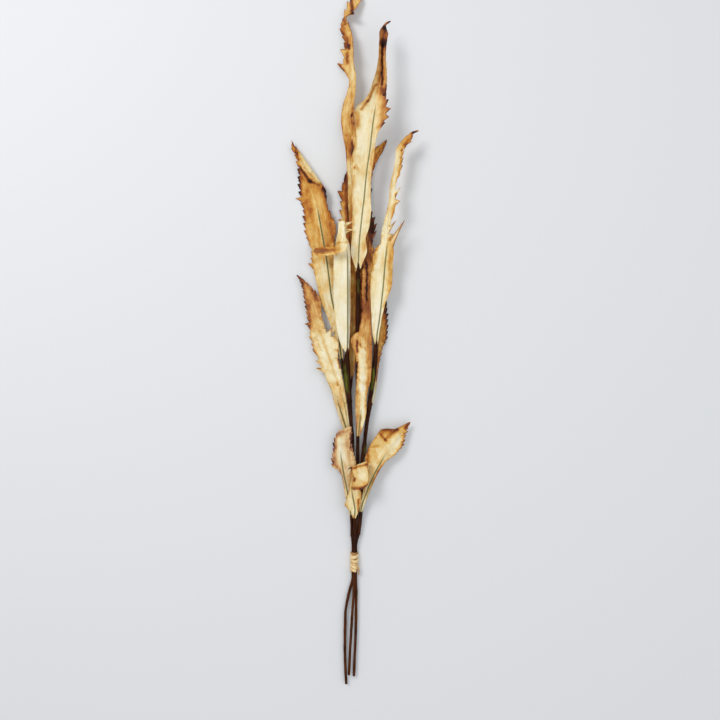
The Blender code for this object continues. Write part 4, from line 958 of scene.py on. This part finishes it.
def build_tie():
    """Raffia: a layer underneath, darker as painted shade in the gaps between the strips, flat strips wound over it,
    and their short loose ends.
    """
    start, end = (at(TIE_X, y, TIED_LOW).y for y in TIE_ENDS)

    def under(u, t):
        x, z, _ = wrap(math.tau * (u % 1), SLEEVE_LIFT)
        return x, start + SLEEVE_INSET + (end - start - 2 * SLEEVE_INSET) * t, max(z, SLEEVE_LIFT)

    sleeve = grid("tie_under", 48, 12, under)
    face_outward(sleeve, weld=True)
    points = sleeve.data.vertices
    # The under layer's tone 0.75 is painted shade: darker straw showing in the gaps between the wound strips.
    parts = [raffia_sheet(sleeve, [0.75] * len(points), [(0, vert.co.x, 7) for vert in points])]
    for number, (from_y, to_y, turns, width, lift, tone) in enumerate(STRIPS):
        parts.append(strip(number, from_y, to_y, turns, width * MM, lift * MM, tone))
    for number, (points, width, tone) in enumerate(LOOSE_ENDS):
        parts.append(loose_end(number, points, width * MM, tone))
    pick(*parts)
    bpy.ops.object.join()
    sleeve.name = sleeve.data.name = "tie_raffia"
    hand_over(sleeve, "tie", raffia_finish(), 50)


def raffia_sheet(piece, tones, runs):
    """Gives a flat piece of raffia its thickness, and keeps its tones and the run of its fibres."""
    store(piece, "tone", tones)
    store(piece, "blade", runs)
    apply(piece, "SOLIDIFY", thickness=RAFFIA, offset=0)
    return piece


def strip(number, from_y, to_y, turns, width, lift, tone):
    """One flat strip wound round the stems, from one sketch height to another, its edges a little uneven."""
    tones, blades = [], []
    begin, finish = at(TIE_X, from_y, TIED_LOW).y, at(TIE_X, to_y, TIED_LOW).y

    def place(u, t):
        turn = math.tau * (turns * t + STRIP_START + number * STRIP_SHIFT)
        across = (u - 0.5) * width * (1 + 0.14 * wobble(t * turns * 3, number, 2))
        crown = 0.22 * MM * (1 - (2 * u - 1) ** 2)
        crease = 0.1 * MM * wobble(u * 9, t * turns * 2.5, number)
        out = lift + crown + crease + 0.12 * MM * wobble(t * turns * 2, number, 5)
        x, z, _ = wrap(turn, out)
        sway = 0.5 * MM * wobble(t * turns * 1.3, number, 9)
        tones.append(tone + 0.1 * wobble(u * 4, t * turns, number) + 0.7 * abs(2 * u - 1) ** 4)
        blades.append((across, t * turns * 0.03, number))
        return x, begin + (finish - begin) * t + across + sway, max(z, 0.2 * MM)

    return raffia_sheet(grid(f"tie_strip_{number}", 10, int(turns * ROWS_PER_TURN), place), tones, blades)


def loose_end(number, points, width, tone):
    """A short free end of a strip, curling away through the given points."""
    run = smooth_through(points)
    tones, blades = [], []

    def place(u, t):
        x, y, z = run(t)[:3]
        near, far = run(max(t - 0.02, 0)), run(min(t + 0.02, 1))
        ahead = (at(*far[:3]) - at(*near[:3])).normalized()
        side = ahead.cross(Vector((0, 0, 1))).normalized()
        across = (u - 0.5) * width * (1 - 0.55 * t)
        tones.append(tone + 0.15 * t)
        blades.append((across, t * 0.02, number + 20))
        cup = 0.25 * MM * (2 * u - 1) ** 2
        return at(x, y, z) + side * across + Vector((0, 0, cup))

    return raffia_sheet(grid(f"tie_end_{number}", 5, 24, place), tones, blades)


# Materials

def paint(red, green, blue):
    """A screen colour, each part from 0 to 255, as the shader takes it."""
    parts = (part / 255 for part in (red, green, blue))
    return (*(p / 12.92 if p <= 0.04045 else ((p + 0.055) / 1.055) ** 2.4 for p in parts), 1)


def node(tree, kind, inputs=None, **settings):
    """A shader node with its settings, its inputs set to a value or joined to a socket."""
    made = tree.nodes.new("ShaderNode" + kind)
    for key, value in settings.items():
        setattr(made, key, value)
    for key, value in (inputs or {}).items():
        if isinstance(value, bpy.types.NodeSocket):
            tree.links.new(value, made.inputs[key])
        else:
            made.inputs[key].default_value = value
    return made


def maths(tree, operation, first, second=0.0, third=0.0):
    return node(tree, "Math", {0: first, 1: second, 2: third}, operation=operation).outputs[0]


def swing(tree, value, strength):
    """A noise value centred on 0 and scaled."""
    return maths(tree, "MULTIPLY", maths(tree, "SUBTRACT", value, 0.5), strength)


def ramp(tree, value, stops):
    """Colours or greys along a value, from stops of (position, colour)."""
    made = node(tree, "ValToRGB", {"Fac": value})
    points = made.color_ramp.elements
    while len(points) < len(stops):
        points.new(0.5)
    for point, (position, colour) in zip(points, stops):
        point.position, point.color = position, colour
    return made.outputs["Color"]


def between(tree, value, low, high, to_low=0.0, to_high=1.0):
    made = node(tree, "MapRange", {"Value": value, "From Min": low, "From Max": high, "To Min": to_low,
                                   "To Max": to_high}, interpolation_type="SMOOTHSTEP")
    return made.outputs["Result"]


def blend(tree, share, under, over, how="MIX"):
    made = node(tree, "Mix", {0: share, 6: under, 7: over}, data_type="RGBA", blend_type=how)
    return made.outputs[2]


def new_group(name, inputs, outputs=("Color", "Roughness", "Height")):
    """An empty shader group. An input without a value takes a vector."""
    tree = bpy.data.node_groups.new(name, "ShaderNodeTree")
    for label, value in inputs.items():
        kind = "NodeSocketVector" if value is None else "NodeSocketFloat"
        socket = tree.interface.new_socket(label, in_out="INPUT", socket_type=kind)
        if value is not None:
            socket.default_value = value
    for label in outputs:
        kind = "NodeSocketColor" if label == "Color" else "NodeSocketFloat"
        tree.interface.new_socket(label, in_out="OUTPUT", socket_type=kind)
    return tree, tree.nodes.new("NodeGroupInput").outputs, tree.nodes.new("NodeGroupOutput").inputs


def fibre_group():
    """Fine streaks that run along a piece."""
    tree, given, put = new_group("fibres", {"Run": None, "Fineness": 1.0, "Length": 1.0}, ("Streaks", "Broad"))
    parts = node(tree, "SeparateXYZ", {0: given["Run"]}).outputs
    for label, fine, length in (("Streaks", 1500, 45), ("Broad", 420, 22)):
        across = maths(tree, "MULTIPLY", maths(tree, "MULTIPLY", parts[0], fine), given["Fineness"])
        along = maths(tree, "MULTIPLY", maths(tree, "DIVIDE", parts[1], given["Length"]), length)
        spot = node(tree, "CombineXYZ", {0: across, 1: along, 2: parts[2]}).outputs[0]
        streak = node(tree, "TexNoise", {"Vector": spot, "Scale": 1.0, "Detail": 3.0, "Roughness": 0.6})
        tree.links.new(streak.outputs["Fac"], put[label])
    return tree


def blade_group(fibres):
    """Dried leaf: cream to near black, mottled and fibrous, with side veins, an olive rib and a dark rim."""
    tree, given, put = new_group("dried_blade", {
        "Place": None, "Blade": None, "Tone": 0.3, "Margin": 5.0,
        "Rib": 0.5, "Grey": 0.0, "Mottle": 0.25, "Fibre": 0.2,
    })
    strands = node(tree, "Group", node_tree=fibres)
    tree.links.new(given["Blade"], strands.inputs["Run"])
    clouds = node(tree, "TexNoise", {"Vector": given["Place"], "Scale": 42.0, "Detail": 6.0, "Roughness": 0.62})
    specks = node(tree, "TexNoise", {"Vector": given["Place"], "Scale": 520.0, "Detail": 3.0, "Roughness": 0.6})
    parts = node(tree, "SeparateXYZ", {0: given["Blade"]}).outputs
    across = maths(tree, "ABSOLUTE", parts[0])

    drift = maths(tree, "MULTIPLY", clouds.outputs["Fac"], 0.0022)
    vein = maths(tree, "ADD", maths(tree, "MULTIPLY_ADD", across, -VEIN_SLANT, parts[1]), drift)
    vein = maths(tree, "PINGPONG", maths(tree, "DIVIDE", vein, VEIN_SPACING / 2), 1.0)
    vein = between(tree, vein, 0.72, 1.0)

    mottle = swing(tree, clouds.outputs["Fac"], given["Mottle"])
    streak = swing(tree, strands.outputs["Streaks"], given["Fibre"])
    broad = swing(tree, strands.outputs["Broad"], given["Fibre"])
    fleck = swing(tree, specks.outputs["Fac"], 0.12)
    rim = between(tree, given["Margin"], 0.1, 0.9, 0.05, 0.0)
    tone = given["Tone"]
    for part in (mottle, streak, broad, fleck, rim, maths(tree, "MULTIPLY", vein, -0.035)):
        tone = maths(tree, "ADD", tone, part)
    colour = ramp(tree, tone, LEAF_TONES)
    dull = node(tree, "HueSaturation", {"Saturation": 0.52, "Value": 0.95, "Color": colour}).outputs["Color"]
    colour = blend(tree, given["Grey"], colour, dull)
    pale = between(tree, across, 0.0012, 0.0030, 0.35, 0.0)
    pale = maths(tree, "MULTIPLY", pale, given["Rib"])
    colour = blend(tree, maths(tree, "MULTIPLY", pale, 0.5), colour, paint(240, 228, 190))
    rib = maths(tree, "MULTIPLY", between(tree, across, 0.0006, 0.0012, 1.0, 0.0), given["Rib"])
    colour = blend(tree, rib, colour, paint(112, 112, 62))
    tree.links.new(colour, put["Color"])

    tree.links.new(between(tree, strands.outputs["Streaks"], 0.3, 0.7, 0.52, 0.74), put["Roughness"])
    height = maths(tree, "MULTIPLY", strands.outputs["Streaks"], 0.5)
    height = maths(tree, "MULTIPLY_ADD", specks.outputs["Fac"], 0.5, height)
    height = maths(tree, "MULTIPLY_ADD", vein, 0.45, height)
    tree.links.new(maths(tree, "MULTIPLY_ADD", clouds.outputs["Fac"], 0.8, height), put["Height"])
    return tree


def new_finish(name):
    made = bpy.data.materials.new(name)
    made.use_nodes = True
    tree = made.node_tree
    return made, tree, tree.nodes["Principled BSDF"]


def finish_from(group, name, fields, values, bump, **sockets):
    """A material that feeds the group's colour, roughness and height to its own shader."""
    made, tree, shader = new_finish(name)
    look = node(tree, "Group", node_tree=group)
    tree.links.new(node(tree, "TexCoord").outputs["Object"], look.inputs["Place"])
    for label in fields:
        field = node(tree, "Attribute", attribute_name=label.lower())
        tree.links.new(field.outputs["Vector" if label == "Blade" else "Fac"], look.inputs[label])
    for label, value in values.items():
        look.inputs[label].default_value = value
    lift = node(tree, "Bump", {"Strength": bump, "Distance": BUMP_DEPTH, "Height": look.outputs["Height"]})
    tree.links.new(look.outputs["Color"], shader.inputs["Base Color"])
    tree.links.new(look.outputs["Roughness"], shader.inputs["Roughness"])
    tree.links.new(lift.outputs["Normal"], shader.inputs["Normal"])
    for label, value in sockets.items():
        shader.inputs[label.replace("_", " ")].default_value = value
    return made


def leaf_finish(name, grey):
    values = {"Grey": grey, "Mottle": 0.34, "Fibre": 0.32}
    return finish_from(BLADE_LOOK, f"{name}_dry", ("Blade", "Tone", "Margin", "Rib"), values, 0.7,
                       Specular_IOR_Level=0.3)


def bark_group(fibres):
    """Dark dry bark with long streaks, black in its furrows and olive on young sheaths."""
    tree, given, put = new_group("dark_bark", {"Place": None, "Olive": 0.0, "Warmth": 0.5})
    strands = node(tree, "Group", {"Fineness": 0.8, "Length": 1.6}, node_tree=fibres)
    tree.links.new(given["Place"], strands.inputs["Run"])
    patches = node(tree, "TexNoise", {"Vector": given["Place"], "Scale": 60.0, "Detail": 4.0})
    streak = maths(tree, "MULTIPLY", strands.outputs["Streaks"], 0.6)
    tone = maths(tree, "MULTIPLY_ADD", patches.outputs["Fac"], 0.5, streak)
    tone = maths(tree, "ADD", tone, maths(tree, "MULTIPLY", given["Warmth"], 0.2))
    run = node(tree, "SeparateXYZ", {0: given["Place"]}).outputs[1]
    tone = maths(tree, "ADD", tone, between(tree, run, -0.36, -0.29, 0.12, 0.0))
    colour = ramp(tree, tone, BARK_TONES)
    olive = ramp(tree, strands.outputs["Broad"], [(0.3, paint(48, 50, 14)), (0.7, paint(112, 112, 40))])
    young = maths(tree, "MULTIPLY", given["Olive"], between(tree, strands.outputs["Streaks"], 0.25, 0.6, 0.4, 1.1))
    colour = blend(tree, between(tree, young, 0.2, 0.9), colour, olive)
    tree.links.new(colour, put["Color"])
    tree.links.new(between(tree, strands.outputs["Streaks"], 0.3, 0.7, 0.42, 0.66), put["Roughness"])
    tree.links.new(maths(tree, "ADD", strands.outputs["Streaks"], patches.outputs["Fac"]), put["Height"])
    return tree


def bark_finish(name):
    return finish_from(BARK_LOOK, f"{name}_bark", ("Olive",), {"Warmth": WARMTH[name]}, 0.6, Specular_IOR_Level=0.06)


def raffia_group(fibres):
    """Pale straw strips with fine fibres, darker along their edges."""
    tree, given, put = new_group("raffia", {"Place": None, "Blade": None, "Tone": 0.2})
    strands = node(tree, "Group", {"Fineness": 2.2, "Length": 0.5}, node_tree=fibres)
    tree.links.new(given["Blade"], strands.inputs["Run"])
    streak = swing(tree, strands.outputs["Streaks"], 0.5)
    blotch = node(tree, "TexNoise", {"Vector": given["Place"], "Scale": 260.0, "Detail": 3.0})
    cloud = swing(tree, blotch.outputs["Fac"], 0.25)
    tone = maths(tree, "ADD", given["Tone"], maths(tree, "ADD", streak, cloud))
    tree.links.new(ramp(tree, tone, RAFFIA_TONES), put["Color"])
    tree.links.new(between(tree, strands.outputs["Streaks"], 0.3, 0.7, 0.5, 0.72), put["Roughness"])
    tree.links.new(strands.outputs["Streaks"], put["Height"])
    return tree


def raffia_finish():
    return finish_from(RAFFIA_LOOK, "tie_straw", ("Blade", "Tone"), {}, 0.6)


# Floor, light and camera

def build_setting():
    """Pale floor, soft lights and a camera that looks straight down from the sketch's eye."""
    scene = bpy.context.scene
    scene.view_settings.view_transform = "Standard"
    bpy.ops.object.select_all(action="DESELECT")
    bpy.ops.mesh.primitive_plane_add(size=8, location=(0, 0, -0.0005))
    floor = bpy.context.active_object
    floor.name = "floor"
    finish, tree, shader = new_finish("pale_floor")
    shader.inputs["Base Color"].default_value = paint(226, 228, 231)
    shader.inputs["Roughness"].default_value = 0.9
    floor.data.materials.append(finish)

    world = bpy.data.worlds.new("soft_room")
    world.use_nodes = True
    sky = world.node_tree.nodes["Background"]
    sky.inputs["Color"].default_value = (0.97, 0.985, 1, 1)
    sky.inputs["Strength"].default_value = 0.5
    scene.world = world
    for place, size, energy, colour in LIGHTS:
        bpy.ops.object.light_add(type="AREA", location=place)
        lamp = bpy.context.active_object
        lamp.data.shape, lamp.data.size = "DISK", size
        lamp.data.energy, lamp.data.color = energy, colour
        lamp.rotation_euler = (-Vector(place)).to_track_quat("-Z", "Y").to_euler()

    bpy.ops.object.camera_add(location=(-MIDDLE.x, -MIDDLE.y, EYE_HEIGHT + EYE_LEVEL), rotation=(0, 0, 0))
    camera = bpy.context.active_object
    camera.data.sensor_width = camera.data.lens = 36
    camera.data.clip_start = 0.01
    scene.camera = camera


# Tones of dry leaf, bark and straw
LEAF_TONES = [
    (0.0, paint(247, 239, 212)), (0.18, paint(240, 223, 174)), (0.34, paint(227, 188, 112)),
    (0.48, paint(207, 149, 62)), (0.6, paint(180, 107, 32)), (0.72, paint(134, 66, 18)),
    (0.84, paint(84, 34, 10)), (1.0, paint(30, 12, 7)),
]
BARK_TONES = [
    (0.3, paint(8, 4, 3)), (0.5, paint(28, 13, 7)), (0.66, paint(54, 26, 12)), (0.84, paint(94, 50, 24)),
]
RAFFIA_TONES = [
    (0.0, paint(250, 228, 180)), (0.3, paint(240, 208, 148)), (0.6, paint(200, 150, 88)), (1.0, paint(110, 68, 32)),
]

# Build everything
FIBRES = fibre_group()
BLADE_LOOK = blade_group(FIBRES)
BARK_LOOK = bark_group(FIBRES)
RAFFIA_LOOK = raffia_group(FIBRES)

build_setting()
for stem_name in STEMS:
    build_stem(stem_name)
for leaf_name in LEAVES:
    build_leaf(leaf_name)
build_tie()
